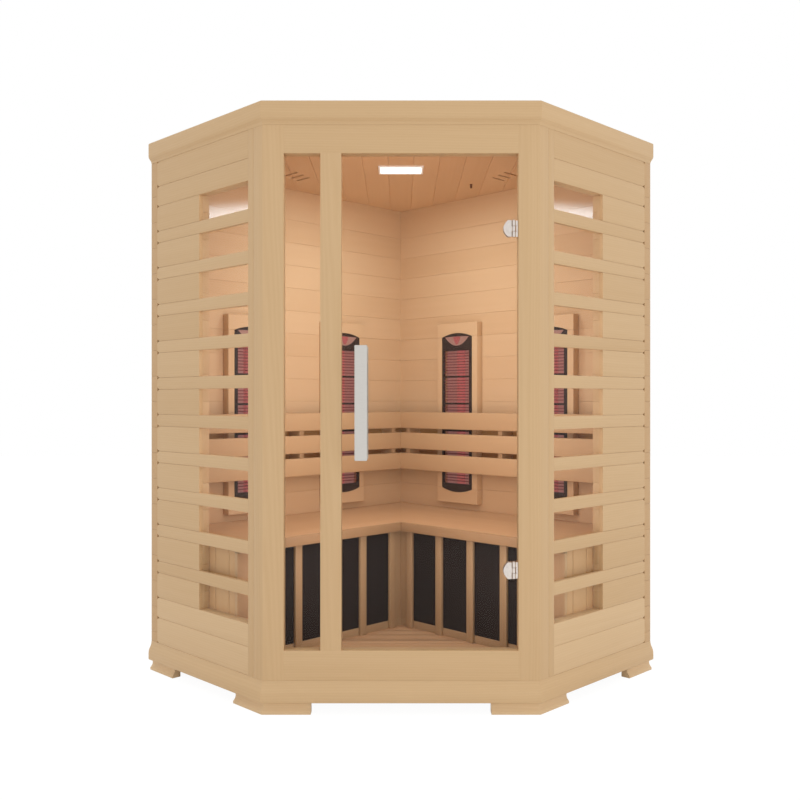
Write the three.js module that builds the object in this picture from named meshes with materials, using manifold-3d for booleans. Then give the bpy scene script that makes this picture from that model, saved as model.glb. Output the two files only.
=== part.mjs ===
// Infrared sauna cabin for a room corner: two rear walls, two side walls with slatted windows and a
// diagonal front with a side light and a hinged glass door. Millimetres, +Z up, the door faces -Y.
// The origin is on the ground, in the middle of the cabin's bounding box.
import * as THREE from 'three';
import { mergeVertices } from 'three/addons/utils/BufferGeometryUtils.js';
import Module from 'manifold-3d';

const wasm = await Module();
wasm.setup();

// Cabin
const CABIN_HEIGHT = 1900;
const REAR_WALL_LENGTH = 1276;
const SIDE_WALL_LENGTH = 668;
const WALL = 40;
const SEAT = 0.3;
const MITRE_GAP = 0.2;

// Boards: every seam is a V-groove
const GROOVE_WIDTH = 4;
const GROOVE_DEPTH = 3;
const WALL_BOARD = 92;
const WALL_SEAM_START = 36;
const FLOOR_BOARD = 60;
const FLOOR_GROOVE_WIDTH = 9;
const FLOOR_GROOVE_DEPTH = 8;
const CEILING_BOARD = 92;
const BENCH_BOARD = 96;
const END_PANEL_BOARD = 78;

// Base: a floor deck let into a plinth that stands on bracket feet
const BASE_HEIGHT = 104;
const DECK = 40;
const FOOT_HEIGHT = 37;
const FOOT_LENGTH = 150;
const FOOT_WAIST = 12;
const FOOT_FLARE = 5;
const FOOT_TOE = 8;
const PLINTH_BACK = 28;
const PLINTH_LIP = 10;
const PLINTH_PROUD = 12;
const PLINTH_OGEE = 44;
const PLINTH_NOSE = 5;

// Front frame
const POST_FACE = 66;
const POST_RETURN = 47;
const SIDE_LIGHT_WIDTH = 113.5;
const MULLION_WIDTH = 65;
const SILL_RAIL = 93;
const HEAD_RAIL = 88;
const SIDE_GLASS = 6;
const SIDE_GLASS_SETBACK = 17;
const SIDE_GLASS_BITE = 10;

// Door
const DOOR_GLASS = 8;
const DOOR_SETBACK = 4;
const DOOR_GAP = 3;

// Door hinges, measured from the hinge axis
const HINGE_FROM_TOP = 233;
const HINGE_FROM_BOTTOM = 248;
const HINGE_HEIGHT = 52;
const HINGE_AXIS_GAP = 14;
const HINGE_PLAY = 0.6;
const KNUCKLE_RADIUS = 6.5;
const KNUCKLE_HEIGHT = 16;
const PIN_RADIUS = 2.5;
const PIN_HEAD_RADIUS = 4;
const PIN_HEAD = 2;
const CLAMP_START = 7;
const CLAMP_REACH = 33;
const CLAMP_BULGE = 14;
const CLAMP_BRIDGE = 4;
const CLAMP_PLATE = 5;
const CLAMP_WEB = 4;
const LEAF = 4;
const LEAF_FRONT = 2;
const LEAF_MARGIN = 4;

// Door handles: a flat bar on two stand-offs outside and its twin inside
const HANDLE_LENGTH = 354;
const HANDLE_WIDTH = 39;
const HANDLE_BAR = 10;
const HANDLE_BEVEL = 1.5;
const HANDLE_STANDOFF = 38;
const HANDLE_INSET = 40;
const HANDLE_RISE = 588;
const STANDOFF_RADIUS = 8;
const STANDOFF_INSET = 45;
const STUD_RADIUS = 4;
const STUD_BITE = 15;

// Side walls: cladding boards outside, a panel inside and a pane between them
const CLADDING = 14;
const WINDOW_FROM_CORNER = 75;
const WINDOW_WIDTH = 280;
const WINDOW_SILL = 163;
const WINDOW_HEAD = 160;
const WINDOW_GLASS = 5;
const WINDOW_BITE = 12;
const SLAT_COUNT = 10;
const SLAT_HEIGHT = 42;
const LOW_BOARD = 90.5;
const HIGH_BOARD = 89;

// Roof: a ceiling panel on the walls, a cornice round it and a cover board let into the cornice
const CEILING = 20;
const CORNICE_HEIGHT = 73;
const CORNICE_PROUD = 12;
const CORNICE_OGEE = 26;
const CORNICE_LIP = 14;
const CORNICE_LEDGE = 12;
const CORNICE_BEVEL = 4;
const ROOF_BOARD = 12;
const ROOF_SKIRT = 18;

// Ceiling fittings
const LAMP_WIDTH = 165;
const LAMP_DEPTH = 106;
const LAMP_FROM_FRONT = 547;
const LAMP_FLANGE = 6;
const LAMP_RIM = 7;
const LAMP_RECESS = 2;
const LAMP_NECK_INSET = 12;
const LAMP_NECK_RISE = 8;
const SPEAKER_X = 398;
const SPEAKER_FROM_FRONT = 660;
const SPEAKER_RADIUS = 66;
const SPEAKER_RIM = 4;
const SPEAKER_MAGNET_RADIUS = 28;
const SPEAKER_HEIGHT = 32;
const SPEAKER_SLOT_COUNT = 3;
const SPEAKER_SLOT_LENGTH = 80;
const SPEAKER_SLOT_WIDTH = 12;
const SPEAKER_SLOT_PITCH = 41;
const SPEAKER_SLOT_STAGGER = 15;
const SENSOR_X = 278;
const SENSOR_FROM_FRONT = 783;
const SENSOR_RADIUS = 5.5;
const SENSOR_DROP = 16;
const CONTROL_BOX_WIDTH = 320;
const CONTROL_BOX_DEPTH = 220;
const CONTROL_BOX_HEIGHT = 36;
const CONTROL_BOX_FROM_FRONT = 900;
const CONTROL_BOX_BEVEL = 3;

// Corner bench
const BENCH_TOP = 509;
const BENCH_THICKNESS = 34;
const BENCH_DEPTH = 479;

// Guard under the bench edge, with a carbon panel let into it from behind and a boarded end panel
const GUARD_SETBACK = 30;
const GUARD_SLAT_WIDTH = 30;
const GUARD_SLAT = 12;
const GUARD_FRAME = 14;
const GUARD_FIRST_SLAT = 42.5;
const GUARD_PITCH = 152;
const GUARD_BOTTOM_RAIL = 28;
const GUARD_TOP_RAIL = 18;
const CARBON_PANEL = 8;
const END_PANEL = 18;

// Backrests
const BACKREST_BOTTOM = 670;
const BACKREST_BOARD_COUNT = 3;
const BACKREST_BOARD_HEIGHT = 71;
const BACKREST_GAP = 19;
const BACKREST_BOARD = 18;
const BACKREST_STANDOFF = 85;
const BACKREST_BATTEN_WIDTH = 22;
const BACKREST_CORNER_BATTEN = 110;
const BACKREST_MIDDLE_BATTEN = 628;
const BACKREST_END_BATTEN = 60;

// Heaters: a wooden casing on the wall, a black grille housing let into it and an element behind
const HEATER_INNER_CENTRE = 370;
const HEATER_OUTER_CENTRE = 845;
const HEATER_BOTTOM = 584;
const HEATER_WIDTH = 165;
const HEATER_HEIGHT = 672;
const HEATER_ARC = 16;
const HOUSING_DEPTH = 8;
const HOUSING_PROUD = 2;
const CASING_SIDE = 29;
const CASING_BELOW = 46;
const CASING_ABOVE = 44;
const CASING_DEPTH = 35;
const LENS_WIDTH = 126;
const LENS_DROP = 38;
const LENS_CROWN = 2;
const LENS_BELOW_TOP = 15;
const GRILLE_WIDTH = 138;
const GRILLE_BOTTOM = 36;
const GRILLE_BELOW_LENS = 21;
const GRILLE_BAYS = 5;
const GRILLE_CROSS_BAR = 8;
const GRILLE_SLOTS_PER_BAY = 5;
const GRILLE_BAR = 6;
const REFLECTOR = 3;
const ELEMENT_RADIUS = 20;
const ELEMENT_END_GAP = 12;

// Facets
const CURVE_STEPS = 6;
const ROUND_SIDES = 20;

// Levels and plan sizes that follow from the above
const MITRE = Math.tan(Math.PI / 8);
const FRONT_HALF = (REAR_WALL_LENGTH - SIDE_WALL_LENGTH) * Math.SQRT1_2;
const BACK_CORNER = (REAR_WALL_LENGTH + SIDE_WALL_LENGTH) * Math.SQRT1_2;
const WALL_TOP = CABIN_HEIGHT - CORNICE_HEIGHT;
const CEILING_TOP = WALL_TOP + CEILING;
const COVER_BOTTOM = CABIN_HEIGHT - ROOF_BOARD;
const DECK_BOTTOM = BASE_HEIGHT - DECK;
const SIDE_INNER = REAR_WALL_LENGTH - WALL;
const SIDE_PANEL_END = SIDE_WALL_LENGTH - POST_RETURN - SEAT;
const POST_INNER = FRONT_HALF - POST_FACE;
const SILL_TOP = BASE_HEIGHT + SILL_RAIL;
const HEAD_BOTTOM = WALL_TOP - HEAD_RAIL;
const MULLION_LEFT = SIDE_LIGHT_WIDTH - POST_INNER;
const MULLION_RIGHT = MULLION_LEFT + MULLION_WIDTH;
const DOOR_LEFT = MULLION_RIGHT + DOOR_GAP;
const DOOR_RIGHT = POST_INNER - DOOR_GAP;
const DOOR_BOTTOM = SILL_TOP + DOOR_GAP;
const DOOR_TOP = HEAD_BOTTOM - DOOR_GAP;
const DOOR_BACK = DOOR_SETBACK + DOOR_GLASS;
const HINGE_X = POST_INNER - HINGE_AXIS_GAP;
const HINGE_Y = DOOR_SETBACK + DOOR_GLASS / 2;
const HINGE_LEVELS = { upper: HEAD_BOTTOM - HINGE_FROM_TOP, lower: SILL_TOP + HINGE_FROM_BOTTOM };
const WINDOW_FRONT = SIDE_WALL_LENGTH - WINDOW_FROM_CORNER;
const WINDOW_REAR = WINDOW_FRONT - WINDOW_WIDTH;
const WINDOW_BOTTOM = BASE_HEIGHT + WINDOW_SILL;
const WINDOW_TOP = WALL_TOP - WINDOW_HEAD;
const SLAT_GAP = (WINDOW_TOP - WINDOW_BOTTOM - SLAT_COUNT * SLAT_HEIGHT) / (SLAT_COUNT + 1);
const BENCH_UNDERSIDE = BENCH_TOP - BENCH_THICKNESS;
const GUARD_FACE = WALL + BENCH_DEPTH - GUARD_SETBACK;
const GUARD_FRAME_FACE = GUARD_FACE - GUARD_SLAT;
const GUARD_BACK = GUARD_FRAME_FACE - GUARD_FRAME;
const GUARD_END = SIDE_INNER - SEAT;
const END_PANEL_FACE = SIDE_INNER - SEAT - END_PANEL;
const HEATER_TOP = HEATER_BOTTOM + HEATER_HEIGHT;
const CASING_BACK = WALL + SEAT;
const CASING_FACE = CASING_BACK + CASING_DEPTH;

// Finishes
const SPRUCE = new THREE.MeshStandardMaterial({ color: '#d3b286', roughness: 0.6, metalness: 0 });
const HEMLOCK = new THREE.MeshStandardMaterial({ color: '#d0a172', roughness: 0.6, metalness: 0 });
const CLEAR_GLASS = new THREE.MeshStandardMaterial({
  color: '#eef4f2', roughness: 0.05, metalness: 0, transparent: true, opacity: 0.2,
});
const BRUSHED_METAL = new THREE.MeshStandardMaterial({ color: '#cfcfcc', roughness: 0.35, metalness: 0.9 });
const BLACK_METAL = new THREE.MeshStandardMaterial({ color: '#2e2623', roughness: 0.5, metalness: 0.2 });
const RED_EMITTER = new THREE.MeshStandardMaterial({ color: '#b05a58', roughness: 0.5, metalness: 0 });
const CARBON = new THREE.MeshStandardMaterial({ color: '#2b2725', roughness: 0.7, metalness: 0 });
const WHITE_PLASTIC = new THREE.MeshStandardMaterial({ color: '#f2f1ee', roughness: 0.4, metalness: 0 });
const DARK_PLASTIC = new THREE.MeshStandardMaterial({ color: '#3a3836', roughness: 0.5, metalness: 0 });

const X_AXIS = new THREE.Vector3(1, 0, 0);
const Y_AXIS = new THREE.Vector3(0, 1, 0);
const Z_AXIS = new THREE.Vector3(0, 0, 1);

// Booleans on closed meshes

function toSolid(geometry) {
  const bare = geometry.clone();
  bare.deleteAttribute('normal');
  bare.deleteAttribute('uv');
  const welded = mergeVertices(bare);
  return new wasm.Manifold(new wasm.Mesh({
    numProp: 3,
    vertProperties: new Float32Array(welded.attributes.position.array),
    triVerts: new Uint32Array(welded.index.array),
  }));
}

function toGeometry(solid) {
  const mesh = solid.getMesh();
  const geometry = new THREE.BufferGeometry();
  geometry.setAttribute('position', new THREE.BufferAttribute(mesh.vertProperties, 3));
  geometry.setIndex(new THREE.BufferAttribute(mesh.triVerts, 1));
  return geometry;
}

function join(...geometries) {
  const solids = geometries.map(toSolid);
  return toGeometry(solids.reduce((whole, next) => whole.add(next)));
}

function cut(geometry, ...tools) {
  const start = toSolid(geometry);
  return toGeometry(tools.reduce((rest, tool) => rest.subtract(toSolid(tool)), start));
}

function common(first, second) {
  return toGeometry(toSolid(first).intersect(toSolid(second)));
}

// Basic solids

function box(x0, x1, y0, y1, z0, z1) {
  const geometry = new THREE.BoxGeometry(x1 - x0, y1 - y0, z1 - z0);
  return geometry.translate((x0 + x1) / 2, (y0 + y1) / 2, (z0 + z1) / 2);
}

function rodAlongZ(radius, x, y, z0, z1) {
  const geometry = new THREE.CylinderGeometry(radius, radius, z1 - z0, ROUND_SIDES);
  return geometry.rotateX(Math.PI / 2).translate(x, y, (z0 + z1) / 2);
}

function rodAlongY(radius, x, z, y0, y1) {
  const geometry = new THREE.CylinderGeometry(radius, radius, y1 - y0, ROUND_SIDES);
  return geometry.translate(x, (y0 + y1) / 2, z);
}

function turned(profile, x, y, z) {
  const points = profile.map(([radius, height]) => new THREE.Vector2(radius, height));
  return new THREE.LatheGeometry(points, ROUND_SIDES).rotateX(Math.PI / 2).translate(x, y, z);
}

function upright(outline, z0, z1) {
  const options = { depth: z1 - z0, bevelEnabled: false, curveSegments: CURVE_STEPS };
  return new THREE.ExtrudeGeometry(outline, options).translate(0, 0, z0);
}

// A section carried along a straight line. Either end may be cut at a slant: its place on the line
// is a function of the section's first coordinate.
function swept(section, startAt, endAt) {
  const options = { depth: 1, bevelEnabled: false, curveSegments: CURVE_STEPS };
  const geometry = new THREE.ExtrudeGeometry(section, options);
  const points = geometry.attributes.position;
  for (let i = 0; i < points.count; i += 1) {
    const endOf = points.getZ(i) < 0.5 ? startAt : endAt;
    points.setZ(i, endOf(points.getX(i)));
  }
  return geometry;
}

// A section in y and z, carried along x
function alongX(section, startAt, endAt) {
  const basis = new THREE.Matrix4().makeBasis(Y_AXIS, Z_AXIS, X_AXIS);
  return swept(section, startAt, endAt).applyMatrix4(basis);
}

// A section in x and z, carried along y
function alongY(section, startAt, endAt) {
  const basis = new THREE.Matrix4().makeBasis(X_AXIS, Z_AXIS, Y_AXIS.clone().negate());
  return swept(section, (x) => -endAt(x), (x) => -startAt(x)).applyMatrix4(basis);
}

function fixedAt(place) {
  return () => place;
}

// Sections

function polygon(points) {
  return new THREE.Shape(points.map(([a, b]) => new THREE.Vector2(a, b)));
}

function rectangle(a0, a1, b0, b1) {
  return polygon([[a0, b0], [a1, b0], [a1, b1], [a0, b1]]);
}

function swapAxes(section) {
  return new THREE.Shape(section.getPoints().map((point) => new THREE.Vector2(point.y, point.x)));
}

// Boards seen end on: a rectangle from a0 to a1 with V-grooves at the seams of its two long faces
function boardedSection(
  a0, a1, b0, b1, lowFaceSeams, highFaceSeams, grooveWidth = GROOVE_WIDTH, grooveDepth = GROOVE_DEPTH,
) {
  const half = grooveWidth / 2;
  const high = highFaceSeams.flatMap((b) => [[a1, b - half], [a1 - grooveDepth, b], [a1, b + half]]);
  const low = lowFaceSeams.flatMap((b) => [[a0, b - half], [a0 + grooveDepth, b], [a0, b + half]]);
  return polygon([[a0, b0], [a1, b0], ...high, [a1, b1], [a0, b1], ...low.reverse()]);
}

// Seam places from the first one on, clear of the far edge by a groove
function seams(first, pitch, end) {
  const count = Math.max(0, Math.ceil((end - GROOVE_WIDTH - first) / pitch));
  return Array.from({ length: count }, (_, i) => first + i * pitch);
}

const WALL_SEAMS = seams(BASE_HEIGHT + WALL_SEAM_START, WALL_BOARD, WALL_TOP);

// The cabin's plan with each wall line moved in, as seen from above with the front along x
function planOutline(frontInset, sideInset, rearInset) {
  const side = REAR_WALL_LENGTH - sideInset;
  const front = SIDE_WALL_LENGTH + sideInset - frontInset * Math.SQRT2;
  const corners = [
    [rearInset, rearInset], [side, rearInset], [side, front], [front, side], [rearInset, side],
  ];
  return polygon(corners.map(([left, right]) => [
    (right - left) * Math.SQRT1_2,
    BACK_CORNER - (left + right) * Math.SQRT1_2,
  ]));
}

// A copy on the other side of the corner's diagonal
function otherSide(geometry) {
  const twin = geometry.index ? geometry.toNonIndexed() : geometry.clone();
  twin.deleteAttribute('normal');
  twin.applyMatrix4(new THREE.Matrix4().makeBasis(Y_AXIS, X_AXIS, Z_AXIS));
  const points = twin.attributes.position;
  const second = new THREE.Vector3();
  const third = new THREE.Vector3();
  for (let i = 0; i < points.count; i += 3) {
    second.fromBufferAttribute(points, i + 1);
    third.fromBufferAttribute(points, i + 2);
    points.setXYZ(i + 1, third.x, third.y, third.z);
    points.setXYZ(i + 2, second.x, second.y, second.z);
  }
  return twin;
}

// Two groups hold the pieces. In the front frame x runs along the door and y into the cabin. In the
// corner frame x runs along the left rear wall and y along the right one, from the back corner.
const cabin = new THREE.Group();
const frontFrame = new THREE.Group();
const cornerFrame = new THREE.Group();
cornerFrame.position.y = BACK_CORNER;
cornerFrame.rotation.z = Math.PI * 1.25;
cabin.add(frontFrame, cornerFrame);
cabin.position.y = (HANDLE_STANDOFF + HANDLE_BAR - DOOR_SETBACK - BACK_CORNER) / 2;

function addPiece(group, name, geometry, material) {
  const mesh = new THREE.Mesh(geometry, material);
  mesh.name = name;
  group.add(mesh);
  return mesh;
}

function addPair(name, leftGeometry, material) {
  addPiece(cornerFrame, `left_${name}`, leftGeometry, material);
  addPiece(cornerFrame, `right_${name}`, otherSide(leftGeometry), material);
}

// Takes away everything past the bisector of the back corner, so that two halves meet in a mitre
function mitred(geometry) {
  const reach = 2 * REAR_WALL_LENGTH;
  const gap = MITRE_GAP * Math.SQRT2;
  const beyond = polygon([[-reach + gap, -reach], [reach + gap, reach], [-reach, reach]]);
  return cut(geometry, upright(beyond, -CABIN_HEIGHT, 2 * CABIN_HEIGHT));
}

// Base

function floorDeck() {
  const inset = PLINTH_LIP + SEAT;
  const floorSeams = seams(inset + FLOOR_BOARD, FLOOR_BOARD, BACK_CORNER);
  const section = boardedSection(
    DECK_BOTTOM, BASE_HEIGHT, 0, BACK_CORNER, [], floorSeams, FLOOR_GROOVE_WIDTH, FLOOR_GROOVE_DEPTH,
  );
  const slab = alongX(swapAxes(section), fixedAt(-REAR_WALL_LENGTH), fixedAt(REAR_WALL_LENGTH));
  return common(slab, upright(planOutline(inset, inset, inset), 0, CABIN_HEIGHT));
}

// Plinth moulding, outward from the wall line: an ogee over a nose, with a waisted foot below
function plinthProfile() {
  const profile = new THREE.Shape();
  const noseTop = BASE_HEIGHT - PLINTH_OGEE;
  const half = PLINTH_OGEE / 2;
  profile.moveTo(-PLINTH_LIP, BASE_HEIGHT);
  profile.lineTo(-PLINTH_LIP, DECK_BOTTOM);
  profile.lineTo(-PLINTH_BACK, DECK_BOTTOM);
  profile.lineTo(-PLINTH_BACK, 0);
  profile.lineTo(FOOT_FLARE, 0);
  profile.lineTo(FOOT_FLARE, FOOT_TOE);
  profile.quadraticCurveTo(-FOOT_WAIST, (FOOT_HEIGHT + FOOT_TOE) / 2, 0, FOOT_HEIGHT);
  profile.lineTo(PLINTH_PROUD - PLINTH_NOSE, FOOT_HEIGHT);
  profile.quadraticCurveTo(PLINTH_PROUD, FOOT_HEIGHT, PLINTH_PROUD, FOOT_HEIGHT + PLINTH_NOSE);
  profile.lineTo(PLINTH_PROUD, noseTop);
  profile.bezierCurveTo(PLINTH_PROUD, noseTop + half, 0, noseTop + half, 0, BASE_HEIGHT);
  return profile;
}

// The square-ended opening between two feet, along x
function footGap(x0, x1) {
  return box(x0, x1, -REAR_WALL_LENGTH, REAR_WALL_LENGTH, -FOOT_HEIGHT, FOOT_HEIGHT);
}

// A moulding along the front, mitred at both corners
function frontMoulding(profile) {
  const endAt = (offset) => FRONT_HALF + offset * MITRE - MITRE_GAP;
  const basis = new THREE.Matrix4().makeBasis(Y_AXIS.clone().negate(), Z_AXIS, X_AXIS.clone().negate());
  return swept(profile, (offset) => -endAt(offset), endAt).applyMatrix4(basis);
}

// A moulding along the left side, mitred at the front corner and square at the rear
function sideMoulding(profile) {
  const endAt = (offset) => SIDE_WALL_LENGTH + offset * MITRE - MITRE_GAP;
  return alongY(profile, fixedAt(0), endAt).translate(REAR_WALL_LENGTH, 0, 0);
}

function rearPlinth() {
  const end = REAR_WALL_LENGTH - PLINTH_BACK - SEAT;
  const section = polygon([
    [0, 0], [PLINTH_BACK, 0], [PLINTH_BACK, DECK_BOTTOM],
    [PLINTH_LIP, DECK_BOTTOM], [PLINTH_LIP, BASE_HEIGHT], [0, BASE_HEIGHT],
  ]);
  const gap = box(FOOT_LENGTH, end - FOOT_LENGTH, -PLINTH_BACK, PLINTH_BACK + SEAT, -FOOT_HEIGHT, FOOT_HEIGHT);
  const board = cut(alongX(section, fixedAt(0), fixedAt(end)), gap);
  return join(board, otherSide(board));
}

function addBase() {
  const footEnd = FRONT_HALF - FOOT_LENGTH;
  const frontPlinth = cut(frontMoulding(plinthProfile()), footGap(-footEnd, footEnd));
  const sideGap = otherSide(footGap(FOOT_LENGTH, SIDE_WALL_LENGTH - FOOT_LENGTH));
  const reachingGap = sideGap.translate(REAR_WALL_LENGTH, 0, 0);
  addPiece(frontFrame, 'floor_deck', floorDeck(), HEMLOCK);
  addPiece(frontFrame, 'front_plinth', frontPlinth, SPRUCE);
  addPair('plinth', cut(sideMoulding(plinthProfile()), reachingGap), SPRUCE);
  addPiece(cornerFrame, 'rear_plinth', rearPlinth(), SPRUCE);
}

// Rear walls: the left one runs to the back corner and the right one stops against it

function rearWall(start) {
  const section = boardedSection(0, WALL, BASE_HEIGHT, WALL_TOP, WALL_SEAMS, WALL_SEAMS);
  return alongX(section, fixedAt(start), fixedAt(REAR_WALL_LENGTH));
}

function addRearWalls() {
  addPiece(cornerFrame, 'rear_left_wall', rearWall(0), HEMLOCK);
  addPiece(cornerFrame, 'rear_right_wall', otherSide(rearWall(WALL + SEAT)), HEMLOCK);
}

// Side walls

function slatBottoms() {
  const pitch = SLAT_HEIGHT + SLAT_GAP;
  return Array.from({ length: SLAT_COUNT }, (_, i) => WINDOW_BOTTOM + SLAT_GAP + i * pitch);
}

function windowGap(z0, z1) {
  return box(SIDE_INNER - WALL, REAR_WALL_LENGTH + WALL, WINDOW_REAR, WINDOW_FRONT, z0, z1);
}

// Outer boards. The narrow ones run on across the window as its slats, and all end in a plain stile.
function sideCladding() {
  const bottoms = slatBottoms();
  const boardSeams = [
    BASE_HEIGHT + LOW_BOARD, WINDOW_BOTTOM,
    ...bottoms.flatMap((z) => [z, z + SLAT_HEIGHT]),
    WINDOW_TOP, WALL_TOP - HIGH_BOARD,
  ];
  const back = REAR_WALL_LENGTH - CLADDING;
  const section = boardedSection(back, REAR_WALL_LENGTH, BASE_HEIGHT, WALL_TOP, [], boardSeams);
  const boards = alongY(section, fixedAt(WALL + SEAT), fixedAt(SIDE_PANEL_END));
  const stile = box(back, REAR_WALL_LENGTH, WINDOW_FRONT, SIDE_PANEL_END, BASE_HEIGHT, WALL_TOP);
  const gapBottoms = [WINDOW_BOTTOM, ...bottoms.map((z) => z + SLAT_HEIGHT)];
  return cut(join(boards, stile), ...gapBottoms.map((z) => windowGap(z, z + SLAT_GAP)));
}

// A box round the window pane, which sits in a rebate of the inner panel behind the cladding
function paneBox(play) {
  const outer = REAR_WALL_LENGTH - CLADDING - SEAT;
  const bite = WINDOW_BITE + play;
  return box(
    outer - WINDOW_GLASS - play, outer + play, WINDOW_REAR - bite, WINDOW_FRONT + bite,
    WINDOW_BOTTOM - bite, WINDOW_TOP + bite,
  );
}

function sidePanel() {
  const outer = REAR_WALL_LENGTH - CLADDING - SEAT;
  const section = boardedSection(SIDE_INNER, outer, BASE_HEIGHT, WALL_TOP, WALL_SEAMS, []);
  const panel = alongY(section, fixedAt(WALL + SEAT), fixedAt(SIDE_PANEL_END));
  return cut(panel, windowGap(WINDOW_BOTTOM, WINDOW_TOP), paneBox(SEAT));
}

function addSideWalls() {
  addPair('wall_panel', sidePanel(), HEMLOCK);
  addPair('cladding', sideCladding(), SPRUCE);
  addPair('window_glass', paneBox(0), CLEAR_GLASS);
}

// Front frame

function sideLightBox(play) {
  const bite = SIDE_GLASS_BITE + play;
  return box(
    -POST_INNER - bite, MULLION_LEFT + bite,
    SIDE_GLASS_SETBACK - play, SIDE_GLASS_SETBACK + SIDE_GLASS + play,
    SILL_TOP - bite, HEAD_BOTTOM + bite,
  );
}

// Corner post: the front stile and its return along the side wall in one angled piece
function postOutline(side) {
  const alongSide = POST_RETURN * Math.SQRT1_2;
  const inward = WALL * Math.SQRT1_2;
  return polygon([
    [side * POST_INNER, 0],
    [side * FRONT_HALF, 0],
    [side * (FRONT_HALF + alongSide), alongSide],
    [side * (FRONT_HALF + alongSide - inward), alongSide + inward],
    [side * (FRONT_HALF - WALL * MITRE), WALL],
    [side * POST_INNER, WALL],
  ]);
}

function addFront() {
  const groove = sideLightBox(SEAT);
  const railEnd = POST_INNER - SEAT;
  const leftPost = cut(upright(postOutline(-1), BASE_HEIGHT, WALL_TOP), groove);
  const mullion = cut(box(MULLION_LEFT, MULLION_RIGHT, 0, WALL, SILL_TOP, HEAD_BOTTOM), groove);
  const headRail = cut(box(-railEnd, railEnd, 0, WALL, HEAD_BOTTOM, WALL_TOP), groove);
  const sillRail = cut(box(-railEnd, railEnd, 0, WALL, BASE_HEIGHT, SILL_TOP), groove);
  addPiece(frontFrame, 'left_corner_post', leftPost, SPRUCE);
  addPiece(frontFrame, 'right_corner_post', upright(postOutline(1), BASE_HEIGHT, WALL_TOP), SPRUCE);
  addPiece(frontFrame, 'mullion', mullion, SPRUCE);
  addPiece(frontFrame, 'head_rail', headRail, SPRUCE);
  addPiece(frontFrame, 'sill_rail', sillRail, SPRUCE);
  addPiece(frontFrame, 'side_light_glass', sideLightBox(0), CLEAR_GLASS);
}

// Door

function handleStudX() {
  return DOOR_LEFT + HANDLE_INSET + HANDLE_WIDTH / 2;
}

function handleStudLevels() {
  const bottom = DOOR_BOTTOM + HANDLE_RISE;
  return [bottom + STANDOFF_INSET, bottom + HANDLE_LENGTH - STANDOFF_INSET];
}

// The pane has a notch round each hinge knuckle and a hole for each handle stud
function doorGlass() {
  const pane = box(DOOR_LEFT, DOOR_RIGHT, DOOR_SETBACK, DOOR_BACK, DOOR_BOTTOM, DOOR_TOP);
  const notchLeft = HINGE_X - CLAMP_START - CLAMP_BRIDGE - SEAT;
  const reach = HINGE_HEIGHT / 2 + PIN_HEAD + HINGE_PLAY;
  const notches = Object.values(HINGE_LEVELS).map((level) => (
    box(notchLeft, POST_INNER, -WALL, WALL, level - reach, level + reach)
  ));
  const holes = handleStudLevels().map((level) => (
    rodAlongY(STUD_RADIUS + SEAT, handleStudX(), level, -WALL, WALL)
  ));
  return cut(pane, ...notches, ...holes);
}

// Bar with bevelled edges, its lower left corner at the origin and its back at y = 0
function handleBar() {
  const face = rectangle(
    HANDLE_BEVEL, HANDLE_WIDTH - HANDLE_BEVEL, HANDLE_BEVEL, HANDLE_LENGTH - HANDLE_BEVEL,
  );
  const bar = new THREE.ExtrudeGeometry(face, {
    depth: HANDLE_BAR - 2 * HANDLE_BEVEL, bevelSize: HANDLE_BEVEL, bevelThickness: HANDLE_BEVEL,
    bevelSegments: 1,
  });
  return bar.translate(0, 0, HANDLE_BEVEL).rotateX(Math.PI / 2);
}

// The outer handle's studs pass through the pane into the inner handle's stand-offs
function outerHandle() {
  const x = handleStudX();
  const barBack = DOOR_SETBACK - HANDLE_STANDOFF;
  const bar = handleBar().translate(DOOR_LEFT + HANDLE_INSET, barBack, DOOR_BOTTOM + HANDLE_RISE);
  const posts = handleStudLevels().flatMap((level) => [
    rodAlongY(STANDOFF_RADIUS, x, level, barBack - HANDLE_BAR / 2, DOOR_SETBACK - SEAT),
    rodAlongY(STUD_RADIUS, x, level, DOOR_SETBACK - HANDLE_BAR, DOOR_BACK + STUD_BITE),
  ]);
  return join(bar, ...posts);
}

function innerHandle() {
  const x = handleStudX();
  const barFront = DOOR_BACK + HANDLE_STANDOFF;
  const bar = handleBar().translate(
    DOOR_LEFT + HANDLE_INSET, barFront + HANDLE_BAR, DOOR_BOTTOM + HANDLE_RISE,
  );
  const posts = handleStudLevels().map((level) => (
    rodAlongY(STANDOFF_RADIUS, x, level, DOOR_BACK + SEAT, barFront + HANDLE_BAR / 2)
  ));
  const sockets = handleStudLevels().map((level) => (
    rodAlongY(STUD_RADIUS + SEAT, x, level, DOOR_BACK - STUD_BITE, DOOR_BACK + STUD_BITE + SEAT)
  ));
  return cut(join(bar, ...posts), ...sockets);
}

// Hinge pieces, with the hinge axis on z

function hingeBore() {
  return rodAlongZ(PIN_RADIUS + SEAT, 0, 0, -HINGE_HEIGHT, HINGE_HEIGHT);
}

// Jamb leaf with the two outer knuckles
function hingeLeaf() {
  const half = HINGE_HEIGHT / 2;
  const jamb = HINGE_AXIS_GAP - SEAT;
  const back = WALL - HINGE_Y - LEAF_MARGIN;
  const inner = KNUCKLE_HEIGHT / 2 + HINGE_PLAY;
  const plate = box(jamb - LEAF, jamb, -LEAF_FRONT, back, -half, half);
  const knuckles = [[inner, half], [-half, -inner]].flatMap(([z0, z1]) => [
    rodAlongZ(KNUCKLE_RADIUS, 0, 0, z0, z1),
    box(0, jamb - LEAF / 2, -LEAF_FRONT, KNUCKLE_RADIUS, z0, z1),
  ]);
  return cut(join(plate, ...knuckles), hingeBore());
}

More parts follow.
